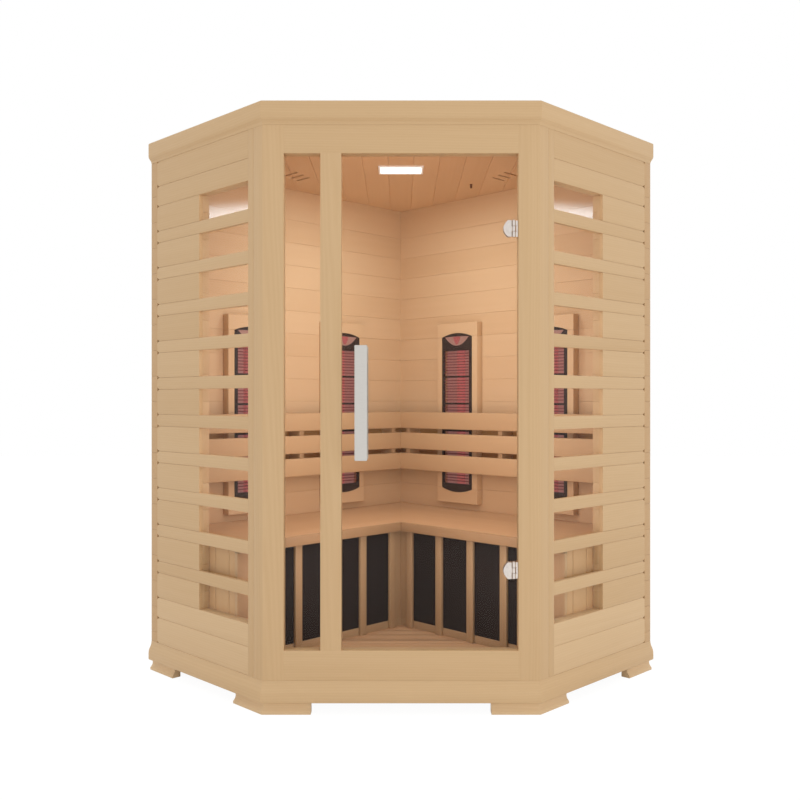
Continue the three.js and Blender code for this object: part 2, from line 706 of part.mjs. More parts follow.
// Glass clamp: two D-shaped cheeks joined behind the pane's edge, with the middle knuckle
function hingeClamp() {
  const half = HINGE_HEIGHT / 2;
  const slot = DOOR_GLASS / 2 + SEAT;
  const cheek = slot + CLAMP_PLATE;
  const web = KNUCKLE_HEIGHT / 2;
  const outline = new THREE.Shape();
  outline.moveTo(-CLAMP_START, -half);
  outline.lineTo(-CLAMP_START, half);
  outline.lineTo(CLAMP_BULGE - CLAMP_REACH, half);
  outline.quadraticCurveTo(-CLAMP_BULGE - CLAMP_REACH, 0, CLAMP_BULGE - CLAMP_REACH, -half);
  const cheeks = alongY(outline, fixedAt(-cheek), fixedAt(cheek));
  const slotEnd = -CLAMP_START - CLAMP_BRIDGE;
  const paneSlot = box(-2 * CLAMP_REACH, slotEnd, -slot, slot, -HINGE_HEIGHT, HINGE_HEIGHT);
  const knuckle = rodAlongZ(KNUCKLE_RADIUS, 0, 0, -web, web);
  const neck = box(-CLAMP_START - CLAMP_BRIDGE / 2, 0, -CLAMP_WEB, CLAMP_WEB, -web, web);
  return cut(join(cut(cheeks, paneSlot), knuckle, neck), hingeBore());
}

function hingePin() {
  const half = HINGE_HEIGHT / 2;
  return turned([
    [0, -half], [PIN_RADIUS, -half], [PIN_RADIUS, half],
    [PIN_HEAD_RADIUS, half], [PIN_HEAD_RADIUS, half + PIN_HEAD], [0, half + PIN_HEAD],
  ], 0, 0, 0);
}

function addDoor() {
  addPiece(frontFrame, 'door_glass', doorGlass(), CLEAR_GLASS);
  addPiece(frontFrame, 'outer_handle', outerHandle(), BRUSHED_METAL);
  addPiece(frontFrame, 'inner_handle', innerHandle(), BRUSHED_METAL);
  for (const [place, level] of Object.entries(HINGE_LEVELS)) {
    const hinge = new THREE.Group();
    hinge.position.set(HINGE_X, HINGE_Y, level);
    addPiece(hinge, `${place}_hinge_leaf`, hingeLeaf(), BRUSHED_METAL);
    addPiece(hinge, `${place}_hinge_clamp`, hingeClamp(), BRUSHED_METAL);
    addPiece(hinge, `${place}_hinge_pin`, hingePin(), BRUSHED_METAL);
    frontFrame.add(hinge);
  }
}

// Roof

// Cornice moulding, outward from the wall line: an ogee, a flat face and a ledge for the cover
function corniceProfile() {
  const ogeeTop = WALL_TOP + CORNICE_OGEE;
  const half = CORNICE_OGEE / 2;
  const profile = new THREE.Shape();
  profile.moveTo(-CORNICE_LIP, WALL_TOP);
  profile.lineTo(0, WALL_TOP);
  profile.bezierCurveTo(0, WALL_TOP + half, CORNICE_PROUD, WALL_TOP + half, CORNICE_PROUD, ogeeTop);
  profile.lineTo(CORNICE_PROUD, CABIN_HEIGHT - CORNICE_BEVEL);
  profile.lineTo(CORNICE_PROUD - CORNICE_BEVEL, CABIN_HEIGHT);
  profile.lineTo(-CORNICE_LIP, CABIN_HEIGHT);
  profile.lineTo(-CORNICE_LIP, COVER_BOTTOM);
  profile.lineTo(-CORNICE_LIP - CORNICE_LEDGE, COVER_BOTTOM);
  profile.lineTo(-CORNICE_LIP - CORNICE_LEDGE, CEILING_TOP);
  profile.lineTo(-CORNICE_LIP, CEILING_TOP);
  return profile;
}

// Slots below a speaker run parallel to the nearer side wall, one behind the other
function speakerSlots(side) {
  return Array.from({ length: SPEAKER_SLOT_COUNT }, (_, i) => {
    const step = i - (SPEAKER_SLOT_COUNT - 1) / 2;
    const along = side * step * SPEAKER_SLOT_STAGGER;
    const across = step * SPEAKER_SLOT_PITCH;
    const slot = box(
      along - SPEAKER_SLOT_LENGTH / 2, along + SPEAKER_SLOT_LENGTH / 2,
      across - SPEAKER_SLOT_WIDTH / 2, across + SPEAKER_SLOT_WIDTH / 2, 0, CABIN_HEIGHT,
    );
    return slot.rotateZ(side * Math.PI / 4).translate(side * SPEAKER_X, SPEAKER_FROM_FRONT, 0);
  });
}

function lampBox(inset, z0, z1) {
  const halfWidth = LAMP_WIDTH / 2 - inset;
  const halfDepth = LAMP_DEPTH / 2 - inset;
  return box(
    -halfWidth, halfWidth, LAMP_FROM_FRONT - halfDepth, LAMP_FROM_FRONT + halfDepth, z0, z1,
  );
}

// Ceiling boards run from front to back, with a hole for the lamp and slots below each speaker
function ceilingPanel() {
  const inset = CORNICE_LIP + SEAT;
  const edge = REAR_WALL_LENGTH;
  const firstSeam = (0.5 - Math.floor(edge / CEILING_BOARD)) * CEILING_BOARD;
  const ceilingSeams = seams(firstSeam, CEILING_BOARD, edge);
  const boards = swapAxes(boardedSection(WALL_TOP, CEILING_TOP, -edge, edge, ceilingSeams, []));
  const slab = alongY(boards, fixedAt(-edge), fixedAt(2 * edge));
  const panel = common(slab, upright(planOutline(inset, inset, 0), 0, CABIN_HEIGHT));
  const lampHole = lampBox(LAMP_NECK_INSET - SEAT, 0, CABIN_HEIGHT);
  return cut(panel, lampHole, ...speakerSlots(-1), ...speakerSlots(1));
}

// Cover board with a skirt along each rear wall, which closes the roof space
function roofCover() {
  const inset = CORNICE_LIP + SEAT;
  const board = upright(planOutline(inset, inset, 0), COVER_BOTTOM, CABIN_HEIGHT);
  const end = REAR_WALL_LENGTH - CORNICE_LIP - CORNICE_LEDGE - SEAT;
  const skirt = box(0, end, 0, ROOF_SKIRT, CEILING_TOP, COVER_BOTTOM + ROOF_BOARD / 2);
  const place = new THREE.Matrix4().makeRotationZ(cornerFrame.rotation.z);
  place.setPosition(cornerFrame.position);
  return join(board, skirt.clone().applyMatrix4(place), otherSide(skirt).applyMatrix4(place));
}

function ceilingLamp() {
  const flange = lampBox(0, WALL_TOP - LAMP_FLANGE, WALL_TOP);
  const neck = lampBox(LAMP_NECK_INSET, WALL_TOP - LAMP_FLANGE / 2, CEILING_TOP + LAMP_NECK_RISE);
  const recess = lampBox(LAMP_RIM, WALL_TOP - 2 * LAMP_FLANGE, WALL_TOP - LAMP_FLANGE + LAMP_RECESS);
  return cut(join(flange, neck), recess);
}

function speaker(side) {
  return turned([
    [0, 0], [SPEAKER_RADIUS, 0], [SPEAKER_RADIUS, SPEAKER_RIM],
    [SPEAKER_RADIUS - SPEAKER_RIM, SPEAKER_RIM],
    [SPEAKER_MAGNET_RADIUS, SPEAKER_HEIGHT / 2], [SPEAKER_MAGNET_RADIUS, SPEAKER_HEIGHT],
    [0, SPEAKER_HEIGHT],
  ], side * SPEAKER_X, SPEAKER_FROM_FRONT, CEILING_TOP);
}

function temperatureSensor() {
  return turned([
    [0, -SENSOR_DROP], [SENSOR_RADIUS / 2, -SENSOR_DROP], [SENSOR_RADIUS, -SENSOR_DROP / 2],
    [SENSOR_RADIUS, 0], [0, 0],
  ], SENSOR_X, SENSOR_FROM_FRONT, WALL_TOP);
}

function controlBox() {
  const halfWidth = CONTROL_BOX_WIDTH / 2 - CONTROL_BOX_BEVEL;
  const halfDepth = CONTROL_BOX_DEPTH / 2 - CONTROL_BOX_BEVEL;
  const lid = new THREE.ExtrudeGeometry(rectangle(-halfWidth, halfWidth, -halfDepth, halfDepth), {
    depth: CONTROL_BOX_HEIGHT - 2 * CONTROL_BOX_BEVEL, bevelSize: CONTROL_BOX_BEVEL,
    bevelThickness: CONTROL_BOX_BEVEL, bevelSegments: 1,
  });
  return lid.translate(0, CONTROL_BOX_FROM_FRONT, CEILING_TOP + CONTROL_BOX_BEVEL);
}

function addRoof() {
  addPiece(frontFrame, 'ceiling_panel', ceilingPanel(), HEMLOCK);
  addPiece(frontFrame, 'roof_cover', roofCover(), SPRUCE);
  addPiece(frontFrame, 'front_cornice', frontMoulding(corniceProfile()), SPRUCE);
  addPair('cornice', sideMoulding(corniceProfile()), SPRUCE);
  addPiece(frontFrame, 'ceiling_lamp', ceilingLamp(), WHITE_PLASTIC);
  addPiece(frontFrame, 'left_speaker', speaker(-1), DARK_PLASTIC);
  addPiece(frontFrame, 'right_speaker', speaker(1), DARK_PLASTIC);
  addPiece(frontFrame, 'temperature_sensor', temperatureSensor(), DARK_PLASTIC);
  addPiece(frontFrame, 'control_box', controlBox(), DARK_PLASTIC);
}

// Bench: two halves that meet in a mitre at the back corner

function benchTop() {
  const back = WALL + SEAT;
  const front = WALL + BENCH_DEPTH;
  const boardSeams = seams(back + BENCH_BOARD, BENCH_BOARD, front);
  const section = swapAxes(boardedSection(BENCH_UNDERSIDE, BENCH_TOP, back, front, [], boardSeams));
  return mitred(alongX(section, fixedAt(back), fixedAt(SIDE_INNER - SEAT)));
}

function guardSlatCentres() {
  const first = GUARD_FACE + GUARD_FIRST_SLAT;
  const count = Math.ceil((GUARD_END - GUARD_SLAT_WIDTH - first) / GUARD_PITCH);
  return Array.from({ length: count }, (_, i) => first + i * GUARD_PITCH);
}

// The carbon panel lies between the guard's rails, behind its slats
function carbonPanelBox(play, back) {
  const inset = SEAT - play;
  const centres = guardSlatCentres();
  return box(
    centres[0] + inset, centres.at(-1) - inset, back, GUARD_FRAME_FACE - inset,
    BASE_HEIGHT + GUARD_BOTTOM_RAIL + inset, BENCH_UNDERSIDE - GUARD_TOP_RAIL - inset,
  );
}

// Upright slats in front of a frame that the carbon panel fits into
function benchGuard() {
  const half = GUARD_SLAT_WIDTH / 2;
  const frame = box(GUARD_BACK, GUARD_END, GUARD_BACK, GUARD_FRAME_FACE, BASE_HEIGHT, BENCH_UNDERSIDE);
  const slats = guardSlatCentres().map((x) => (
    box(x - half, x + half, GUARD_BACK, GUARD_FACE, BASE_HEIGHT, BENCH_UNDERSIDE)
  ));
  return mitred(cut(join(frame, ...slats), carbonPanelBox(SEAT, 0)));
}

// Upright boards that close the bench end, seen through the side window
function benchEndPanel() {
  const back = WALL + SEAT;
  const front = GUARD_BACK - SEAT;
  const boardSeams = seams(back + END_PANEL_BOARD, END_PANEL_BOARD, front);
  const plan = boardedSection(END_PANEL_FACE, SIDE_INNER - SEAT, back, front, boardSeams, boardSeams);
  return upright(plan, BASE_HEIGHT, BENCH_UNDERSIDE);
}

function backrest() {
  const front = WALL + BACKREST_STANDOFF;
  const back = front - BACKREST_BOARD;
  const end = SIDE_INNER - SEAT;
  const pitch = BACKREST_BOARD_HEIGHT + BACKREST_GAP;
  const bottoms = Array.from({ length: BACKREST_BOARD_COUNT }, (_, i) => BACKREST_BOTTOM + i * pitch);
  const top = BACKREST_BOTTOM + BACKREST_BOARD_COUNT * pitch - BACKREST_GAP;
  const boards = bottoms.map((z) => box(back, end, back, front, z, z + BACKREST_BOARD_HEIGHT));
  const half = BACKREST_BATTEN_WIDTH / 2;
  const battenCentres = [
    WALL + BACKREST_CORNER_BATTEN, WALL + BACKREST_MIDDLE_BATTEN, end - BACKREST_END_BATTEN,
  ];
  const battens = battenCentres.map((x) => (
    box(x - half, x + half, WALL + SEAT, back + BACKREST_BOARD / 2, BACKREST_BOTTOM, top)
  ));
  return mitred(join(...boards, ...battens));
}

function addBench() {
  addPair('bench_top', benchTop(), HEMLOCK);
  addPair('bench_guard', benchGuard(), HEMLOCK);
  addPair('carbon_panel', carbonPanelBox(0, GUARD_FRAME_FACE - SEAT - CARBON_PANEL), CARBON);
  addPair('bench_end_panel', benchEndPanel(), HEMLOCK);
  addPair('backrest', backrest(), HEMLOCK);
}

// Heaters, drawn round x = 0 on the left rear wall and then moved along it

// Upright outline with a bowed top and bottom
function heaterOutline(grow) {
  const half = HEATER_WIDTH / 2 + grow;
  const low = HEATER_BOTTOM - grow;
  const high = HEATER_TOP + grow;
  const outline = new THREE.Shape();
  outline.moveTo(-half, low + HEATER_ARC);
  outline.quadraticCurveTo(0, low - HEATER_ARC, half, low + HEATER_ARC);
  outline.lineTo(half, high - HEATER_ARC);
  outline.quadraticCurveTo(0, high + HEATER_ARC, -half, high - HEATER_ARC);
  return outline;
}

function heaterCasing() {
  const half = HEATER_WIDTH / 2 + CASING_SIDE;
  const railTop = HEATER_TOP - HEATER_ARC;
  const railBottom = HEATER_BOTTOM + HEATER_ARC;
  const section = boardedSection(
    CASING_BACK, CASING_FACE, HEATER_BOTTOM - CASING_BELOW, HEATER_TOP + CASING_ABOVE,
    [], [railBottom, railTop],
  );
  const board = alongX(section, fixedAt(-half), fixedAt(half));
  return cut(board, alongY(heaterOutline(SEAT), fixedAt(0), fixedAt(REAR_WALL_LENGTH)));
}

function lensWindow() {
  const half = LENS_WIDTH / 2;
  const level = HEATER_TOP - LENS_BELOW_TOP;
  const lens = new THREE.Path();
  lens.moveTo(-half, level);
  lens.quadraticCurveTo(0, level - 2 * LENS_DROP, half, level);
  lens.quadraticCurveTo(0, level + 2 * LENS_CROWN, -half, level);
  return lens;
}

// Grille slots: bays between heavy cross bars, each split by thin bars
function grilleSlots() {
  const bottom = HEATER_BOTTOM + GRILLE_BOTTOM;
  const top = HEATER_TOP - LENS_BELOW_TOP - LENS_DROP - GRILLE_BELOW_LENS;
  const bay = (top - bottom - (GRILLE_BAYS - 1) * GRILLE_CROSS_BAR) / GRILLE_BAYS;
  const slot = (bay - (GRILLE_SLOTS_PER_BAY - 1) * GRILLE_BAR) / GRILLE_SLOTS_PER_BAY;
  const half = GRILLE_WIDTH / 2;
  return Array.from({ length: GRILLE_BAYS * GRILLE_SLOTS_PER_BAY }, (_, i) => {
    const bayBottom = bottom + Math.floor(i / GRILLE_SLOTS_PER_BAY) * (bay + GRILLE_CROSS_BAR);
    const z = bayBottom + (i % GRILLE_SLOTS_PER_BAY) * (slot + GRILLE_BAR);
    return rectangle(-half, half, z, z + slot);
  });
}

function heaterHousing() {
  const face = heaterOutline(0);
  face.holes.push(lensWindow(), ...grilleSlots());
  const front = CASING_FACE + HOUSING_PROUD;
  return alongY(face, fixedAt(front - HOUSING_DEPTH), fixedAt(front));
}

// Half-round emitter on a reflector plate that lies on the wall
function heaterElement() {
  const plateFront = CASING_BACK + REFLECTOR;
  const bottom = HEATER_BOTTOM + HEATER_ARC + ELEMENT_END_GAP;
  const top = HEATER_TOP - HEATER_ARC - ELEMENT_END_GAP;
  const plate = alongY(heaterOutline(-SEAT), fixedAt(CASING_BACK), fixedAt(plateFront));
  const tube = rodAlongZ(ELEMENT_RADIUS, 0, plateFront, bottom, top);
  const behind = box(
    -HEATER_WIDTH, HEATER_WIDTH, -WALL, CASING_BACK + REFLECTOR / 2, 0, CABIN_HEIGHT,
  );
  return join(plate, cut(tube, behind));
}

function addHeaters() {
  const centres = { inner: WALL + HEATER_INNER_CENTRE, outer: WALL + HEATER_OUTER_CENTRE };
  for (const [place, x] of Object.entries(centres)) {
    addPair(`${place}_heater_casing`, heaterCasing().translate(x, 0, 0), HEMLOCK);
    addPair(`${place}_heater_housing`, heaterHousing().translate(x, 0, 0), BLACK_METAL);
    addPair(`${place}_heater_element`, heaterElement().translate(x, 0, 0), RED_EMITTER);
  }
}

addBase();
addRearWalls();
addSideWalls();
addFront();
addDoor();
addRoof();
addBench();
addHeaters();

export default cabin;
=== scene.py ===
# %% [markdown]
# # An infrared sauna cabin for a room corner
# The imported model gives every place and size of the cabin. This lesson dresses it: each wooden panel
# becomes separate boards with softened edges and their own grain, the heaters get their grilles and
# their glow, and the door gets its metal fittings. Everything is in metres and +Z is up.

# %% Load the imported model
from itertools import pairwise
from math import pi, radians, sqrt, tan

import bpy
import numpy as np
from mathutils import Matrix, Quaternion, Vector


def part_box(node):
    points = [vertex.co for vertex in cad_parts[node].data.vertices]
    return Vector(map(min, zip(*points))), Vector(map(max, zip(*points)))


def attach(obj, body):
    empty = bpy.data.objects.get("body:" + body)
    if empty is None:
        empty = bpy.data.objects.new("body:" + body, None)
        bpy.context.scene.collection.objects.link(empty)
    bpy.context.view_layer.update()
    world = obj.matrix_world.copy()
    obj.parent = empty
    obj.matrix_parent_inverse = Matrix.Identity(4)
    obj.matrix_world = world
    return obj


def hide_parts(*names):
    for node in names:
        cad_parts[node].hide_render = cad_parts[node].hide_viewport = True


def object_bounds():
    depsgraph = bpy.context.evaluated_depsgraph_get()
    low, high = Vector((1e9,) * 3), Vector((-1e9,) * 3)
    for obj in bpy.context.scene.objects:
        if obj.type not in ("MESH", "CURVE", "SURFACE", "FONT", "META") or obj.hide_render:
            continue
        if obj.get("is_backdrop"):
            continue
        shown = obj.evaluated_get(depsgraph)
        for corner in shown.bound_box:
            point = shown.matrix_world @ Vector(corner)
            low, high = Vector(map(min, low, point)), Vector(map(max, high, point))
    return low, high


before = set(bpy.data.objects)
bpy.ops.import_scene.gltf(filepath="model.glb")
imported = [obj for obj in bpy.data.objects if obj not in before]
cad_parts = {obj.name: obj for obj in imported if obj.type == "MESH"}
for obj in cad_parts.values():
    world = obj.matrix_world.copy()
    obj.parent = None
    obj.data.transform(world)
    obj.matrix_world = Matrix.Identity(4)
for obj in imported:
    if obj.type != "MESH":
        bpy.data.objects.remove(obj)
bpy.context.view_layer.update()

# %% [markdown]
# ## The camera
# The photograph looks straight at the door from a little above its middle. Its two side walls turn back
# at 45 degrees, which fixes the distance and the focal length, so the camera is level and needs almost
# no shift.

# %% Camera
CAMERA_PLACE = (-0.0034, -3.4883, 0.976)
FOCAL_LENGTH = 41.0
HORIZON_SHIFT = -0.00075

scene = bpy.context.scene
camera_data = bpy.data.cameras.new("camera")
camera_data.lens = FOCAL_LENGTH
camera_data.sensor_width = 36.0
camera_data.shift_y = HORIZON_SHIFT
camera = bpy.data.objects.new("camera", camera_data)
camera.location = CAMERA_PLACE
camera.rotation_euler = (pi / 2, 0, 0)
scene.collection.objects.link(camera)
scene.camera = camera
scene.view_settings.view_transform = "Standard"
print("camera at", CAMERA_PLACE)

# %% [markdown]
# ## Three ways to measure the cabin
# A joiner measures each wall from its own corner, in millimetres. A Placement does the same: p runs
# along a wall, q across it and z up. The front is measured from the middle of the sill rail. Each side
# is measured from the back corner, p along its rear wall and q along the other one, so one set of
# numbers makes the left half and its mirror image.

# %% Placements
MM = 0.001
AXES = "pqz"


class Placement:
    """A point (p, q, z) in millimetres lies at origin + p * first + q * second + z * up."""

    def __init__(self, origin, first, second):
        self.origin = np.array(origin, float)
        self.axes = np.array([first, second, (0, 0, 1)], float)

    def place(self, points):
        return self.origin + MM * np.asarray(points, float) @ self.axes

    def extent(self, node):
        """Lowest and highest p, q and z of a CAD node."""
        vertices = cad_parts[node].data.vertices
        points = np.empty(3 * len(vertices))
        vertices.foreach_get("co", points)
        local = (points.reshape(-1, 3) - self.origin) @ self.axes.T / MM
        return local.min(0), local.max(0)


DIAGONAL = sqrt(0.5)
BACK_CORNER_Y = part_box("rear_plinth")[1].y
FRONT = Placement((0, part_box("sill_rail")[0].y, 0), (1, 0, 0), (0, 1, 0))
LEFT = Placement((0, BACK_CORNER_Y, 0), (-DIAGONAL, -DIAGONAL, 0), (DIAGONAL, -DIAGONAL, 0))
RIGHT = Placement((0, BACK_CORNER_Y, 0), (DIAGONAL, -DIAGONAL, 0), (-DIAGONAL, -DIAGONAL, 0))
SIDES = {"left": LEFT, "right": RIGHT}

BACK = (BACK_CORNER_Y - FRONT.origin[1]) / MM
REAR_LENGTH = LEFT.extent("left_cladding")[1][0]
FRONT_HALF = REAR_LENGTH * sqrt(2) - BACK
SIDE_LENGTH = BACK * sqrt(2) - REAR_LENGTH
FLOOR_TOP = FRONT.extent("floor_deck")[1][2]
WALL_TOP = LEFT.extent("rear_left_wall")[1][2]
print("rear", REAR_LENGTH.round(1), "side", SIDE_LENGTH.round(1), "front", (2 * FRONT_HALF).round(1))

# %% [markdown]
# ## Outlines with softened corners
# Sawn and sanded wood has no sharp edges, and the thin light lines along its edges are what makes it
# look real. An outline is an array of points that runs anticlockwise. Each sharp corner gives way to a
# quadratic curve with the corner as its control point. A board that meets a slanting wall is trimmed by
# a straight line.

# %% Outlines
SHARP_TURN = 0.9
CORNER_STEPS = np.array([0.0, 0.5, 1.0])


def rectangle(u0, u1, v0, v1):
    return np.array([(u0, v0), (u1, v0), (u1, v1), (u0, v1)], float)


def curve(start, control, end, steps=8):
    """Quadratic curve: (1-t)^2 start + 2t(1-t) control + t^2 end."""
    t = np.linspace(0, 1, steps + 1)[:, None]
    return (1 - t) ** 2 * np.array(start) + 2 * t * (1 - t) * np.array(control) + t**2 * np.array(end)


def ogee(start, end, steps=10):
    """S-curve that starts and ends upright: the width follows 3t^2 - 2t^3, the height 1.5t(1-t) + t^3."""
    t = np.linspace(0, 1, steps + 1)[:, None]
    share = np.hstack([3 * t**2 - 2 * t**3, 1.5 * t * (1 - t) + t**3])
    return np.array(start) + share * (np.array(end) - np.array(start))


def eased(outline, radius):
    """The outline, anticlockwise, with each sharp corner C replaced by
    C + (1-t)^2 r back + t^2 r ahead, where back and ahead point along its two edges."""
    before = np.roll(outline, 1, 0)
    if np.sum(before[:, 0] * outline[:, 1] - outline[:, 0] * before[:, 1]) < 0:
        outline = outline[::-1]
    back = np.roll(outline, 1, 0) - outline
    ahead = np.roll(outline, -1, 0) - outline
    back_length = np.linalg.norm(back, axis=1)
    ahead_length = np.linalg.norm(ahead, axis=1)
    back = back / back_length[:, None]
    ahead = ahead / ahead_length[:, None]
    sharp = np.sum(back * ahead, 1) > -SHARP_TURN
    reach = np.minimum(radius, 0.45 * np.minimum(back_length, ahead_length))[:, None, None]
    t = CORNER_STEPS[None, :, None]
    rounded = outline[:, None] + reach * ((1 - t) ** 2 * back[:, None] + t**2 * ahead[:, None])
    rounded = np.where(sharp[:, None, None], rounded, outline[:, None])
    return rounded[sharp[:, None] | (CORNER_STEPS == 0)]


def trimmed(outline, direction, limit):
    """The part of a convex outline where its distance along the direction is at most the limit."""
    beyond = outline @ np.array(direction) - limit
    ahead, beyond_ahead = np.roll(outline, -1, 0), np.roll(beyond, -1)
    crossing = (beyond > 0) != (beyond_ahead > 0)
    share = np.where(crossing, beyond / np.where(crossing, beyond - beyond_ahead, 1), 0)
    meeting = outline + share[:, None] * (ahead - outline)
    both = np.stack([outline, meeting], 1).reshape(-1, 2)
    return both[np.stack([beyond <= 0, crossing], 1).ravel()]


print("a softened square has", len(eased(rectangle(0, 1, 0, 1), 0.1)), "points")

# %% [markdown]
# ## Solids from rings
# A board is its outline carried in a straight line. A few rings at each end pull the outline in, so
# the end edges are as soft as the others, and an end may slant, as in a mitre. A turned part is the
# same idea with circles. Both become one grid of quads with a cap at each end.

# %% Carried and turned solids
END_INSET = np.array([0.5, 0.134, 0.0])
END_DEPTH = np.array([0.0, 0.366, 0.866])


def lofted(rings):
    """Quads between neighbouring rings, an array of (station, around, 3), and a cap on both ends."""
    index = np.arange(rings.shape[0] * rings.shape[1]).reshape(rings.shape[:2])
    ahead = np.roll(index, -1, 1)
    quads = np.stack([index[:-1], ahead[:-1], ahead[1:], index[1:]], -1).reshape(-1, 4)
    return rings.reshape(-1, 3), quads.tolist() + [index[0, ::-1].tolist(), index[-1].tolist()]


def carried(outline, start, end, ease=0.0):
    """The outline carried from start to end. Each is a number, or (c, cu, cv) for a slanting end at
    c + cu * u + cv * v. Near the ends each point moves inwards by the bisector of its two edges."""
    edge = np.roll(outline, -1, 0) - outline
    edge = edge / np.linalg.norm(edge, axis=1)[:, None]
    normal = np.stack([edge[:, 1], -edge[:, 0]], 1)
    behind = np.roll(normal, 1, 0)
    bisector = (normal + behind) / (1 + np.sum(normal * behind, 1))[:, None]
    slope = np.hstack([np.ones((len(outline), 1)), outline])
    first, last = (slope @ np.resize(np.append(place, (0, 0)), 3) for place in (start, end))
    inset = ease * np.concatenate([END_INSET, END_INSET[::-1]])
    depth = ease * END_DEPTH[:, None]
    places = np.vstack([first + depth, last - depth[::-1]])
    flat = outline[None] - inset[:, None, None] * bisector[None]
    if ease == 0:
        places, flat = places[[0, -1]], flat[[0, -1]]
    return lofted(np.concatenate([flat, places[..., None]], 2))


def turned(profile, sides=28):
    """Rows of (radius, height) turned about the w axis: (r cos a, r sin a, h)."""
    angle = np.arange(sides) * 2 * pi / sides
    radius, height = np.array(profile, float).T
    rings = [radius[:, None] * np.cos(angle), radius[:, None] * np.sin(angle)]
    return lofted(np.stack([*rings, np.repeat(height[:, None], sides, 1)], 2))


print("a board has", len(carried(eased(rectangle(0, 9, 0, 9), 1), 0, 99, 1)[1]), "faces")

# %% [markdown]
# ## Pieces that remember their grain
# Wood grain can't be painted on: it is the tree's rings, cut open. So every board keeps, at each point,
# where that point was in the tree: how far along the trunk, and how far from the pith in two directions.
# Each board is cut from another place in the tree, drawn from one seeded generator, and has its own tone.

# %% Piece
SMOOTH_BELOW = radians(28)
tree = np.random.default_rng(1874)


class Piece:
    """Closed shells of one piece of the cabin, measured in one placement."""

    def __init__(self, name, placement):
        self.name, self.placement = name, placement
        self.points, self.faces, self.grain, self.tone = [], [], [], []
        self.count = 0

    def add(self, shell, order="pqz", along="z", at=(0, 0, 0), tone=None):
        """Adds a shell whose u, v and w are the placement's axes in that order, moved by at. Its grain
        runs along one axis: (along + shift, across - pith + lean * along), in metres."""
        points, faces = shell
        local = points[:, [order.index(axis) for axis in AXES]] + np.array(at)
        turn = np.linalg.det(np.eye(3)[[AXES.index(axis) for axis in order]])
        if turn * np.linalg.det(self.placement.axes) < 0:
            faces = [face[::-1] for face in faces]
        lengthwise = AXES.index(along)
        across = [i for i in range(3) if i != lengthwise]
        middle = (local.min(0) + local.max(0)) / 2
        shift, own_tone = tree.uniform(0, 4e4), tree.uniform(-1, 1)
        pith = tree.uniform((-40, 35), (40, 120)) * tree.choice((-1, 1), 2)
        lean = tree.uniform(-0.02, 0.02, 2)
        length = local[:, [lengthwise]]
        rings = (local - middle)[:, across] - pith + lean * (length - middle[lengthwise])
        self.points.append(self.placement.place(local))
        self.faces += [[corner + self.count for corner in face] for face in faces]
        self.grain.append(MM * np.hstack([length + shift, rings]))
        self.tone.append(np.full(len(local), own_tone if tone is None else tone))
        self.count += len(local)

    def finish(self, material, slot, *nodes, body="cabin"):
        """Makes the object, which rides on its body and stands for the CAD nodes."""
        mesh = bpy.data.meshes.new(self.name)
        mesh.from_pydata(np.concatenate(self.points).tolist(), [], self.faces)
        grain = mesh.attributes.new("grain", "FLOAT_VECTOR", "POINT")
        grain.data.foreach_set("vector", np.concatenate(self.grain).ravel())
        tone = mesh.attributes.new("tone", "FLOAT", "POINT")
        tone.data.foreach_set("value", np.concatenate(self.tone))
        mesh.shade_smooth()
        mesh.set_sharp_from_angle(angle=SMOOTH_BELOW)
        mesh.materials.append(material)
        piece = bpy.data.objects.new(self.name, mesh)
        scene.collection.objects.link(piece)
        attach(piece, body)
        if nodes:
            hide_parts(*nodes)
        made.append((self.name, len(mesh.polygons)))
        return piece


made = []

# %% [markdown]
# ## Writing shaders as sums
# A material is a formula, so it reads best as one. A Value wraps a node's output and takes Python's
# operators, each of which adds a Math node. A Finish makes every other node with one method: its type,
# its settings, and the values or links of its inputs.

# %% Shader expressions
def srgb(red, green, blue):
    """Screen colour from 0 to 255, as the linear colour that a shader takes."""
    share = np.array([red, green, blue]) / 255
    linear = np.where(share <= 0.04045, share / 12.92, ((share + 0.055) / 1.055) ** 2.4)
    return (*linear.tolist(), 1.0)


class Value:
    """A socket's value in a formula."""

    def __init__(self, finish, socket):
        self.finish, self.socket = finish, socket

    def maths(self, operation, first, second=0.0):
        return self.finish.node("ShaderNodeMath", {"operation": operation}, {0: first, 1: second})

    def sine(self):
        return self.maths("SINE", self)

    def floor(self):
        return self.maths("FLOOR", self)

    def __add__(self, other):
        return self.maths("ADD", self, other)

    def __sub__(self, other):
        return self.maths("SUBTRACT", self, other)

    def __rsub__(self, other):
        return self.maths("SUBTRACT", other, self)

    def __mul__(self, other):
        return self.maths("MULTIPLY", self, other)

    def __truediv__(self, other):
        return self.maths("DIVIDE", self, other)

    def __pow__(self, other):
        return self.maths("POWER", self, other)

    __radd__ = __add__
    __rmul__ = __mul__


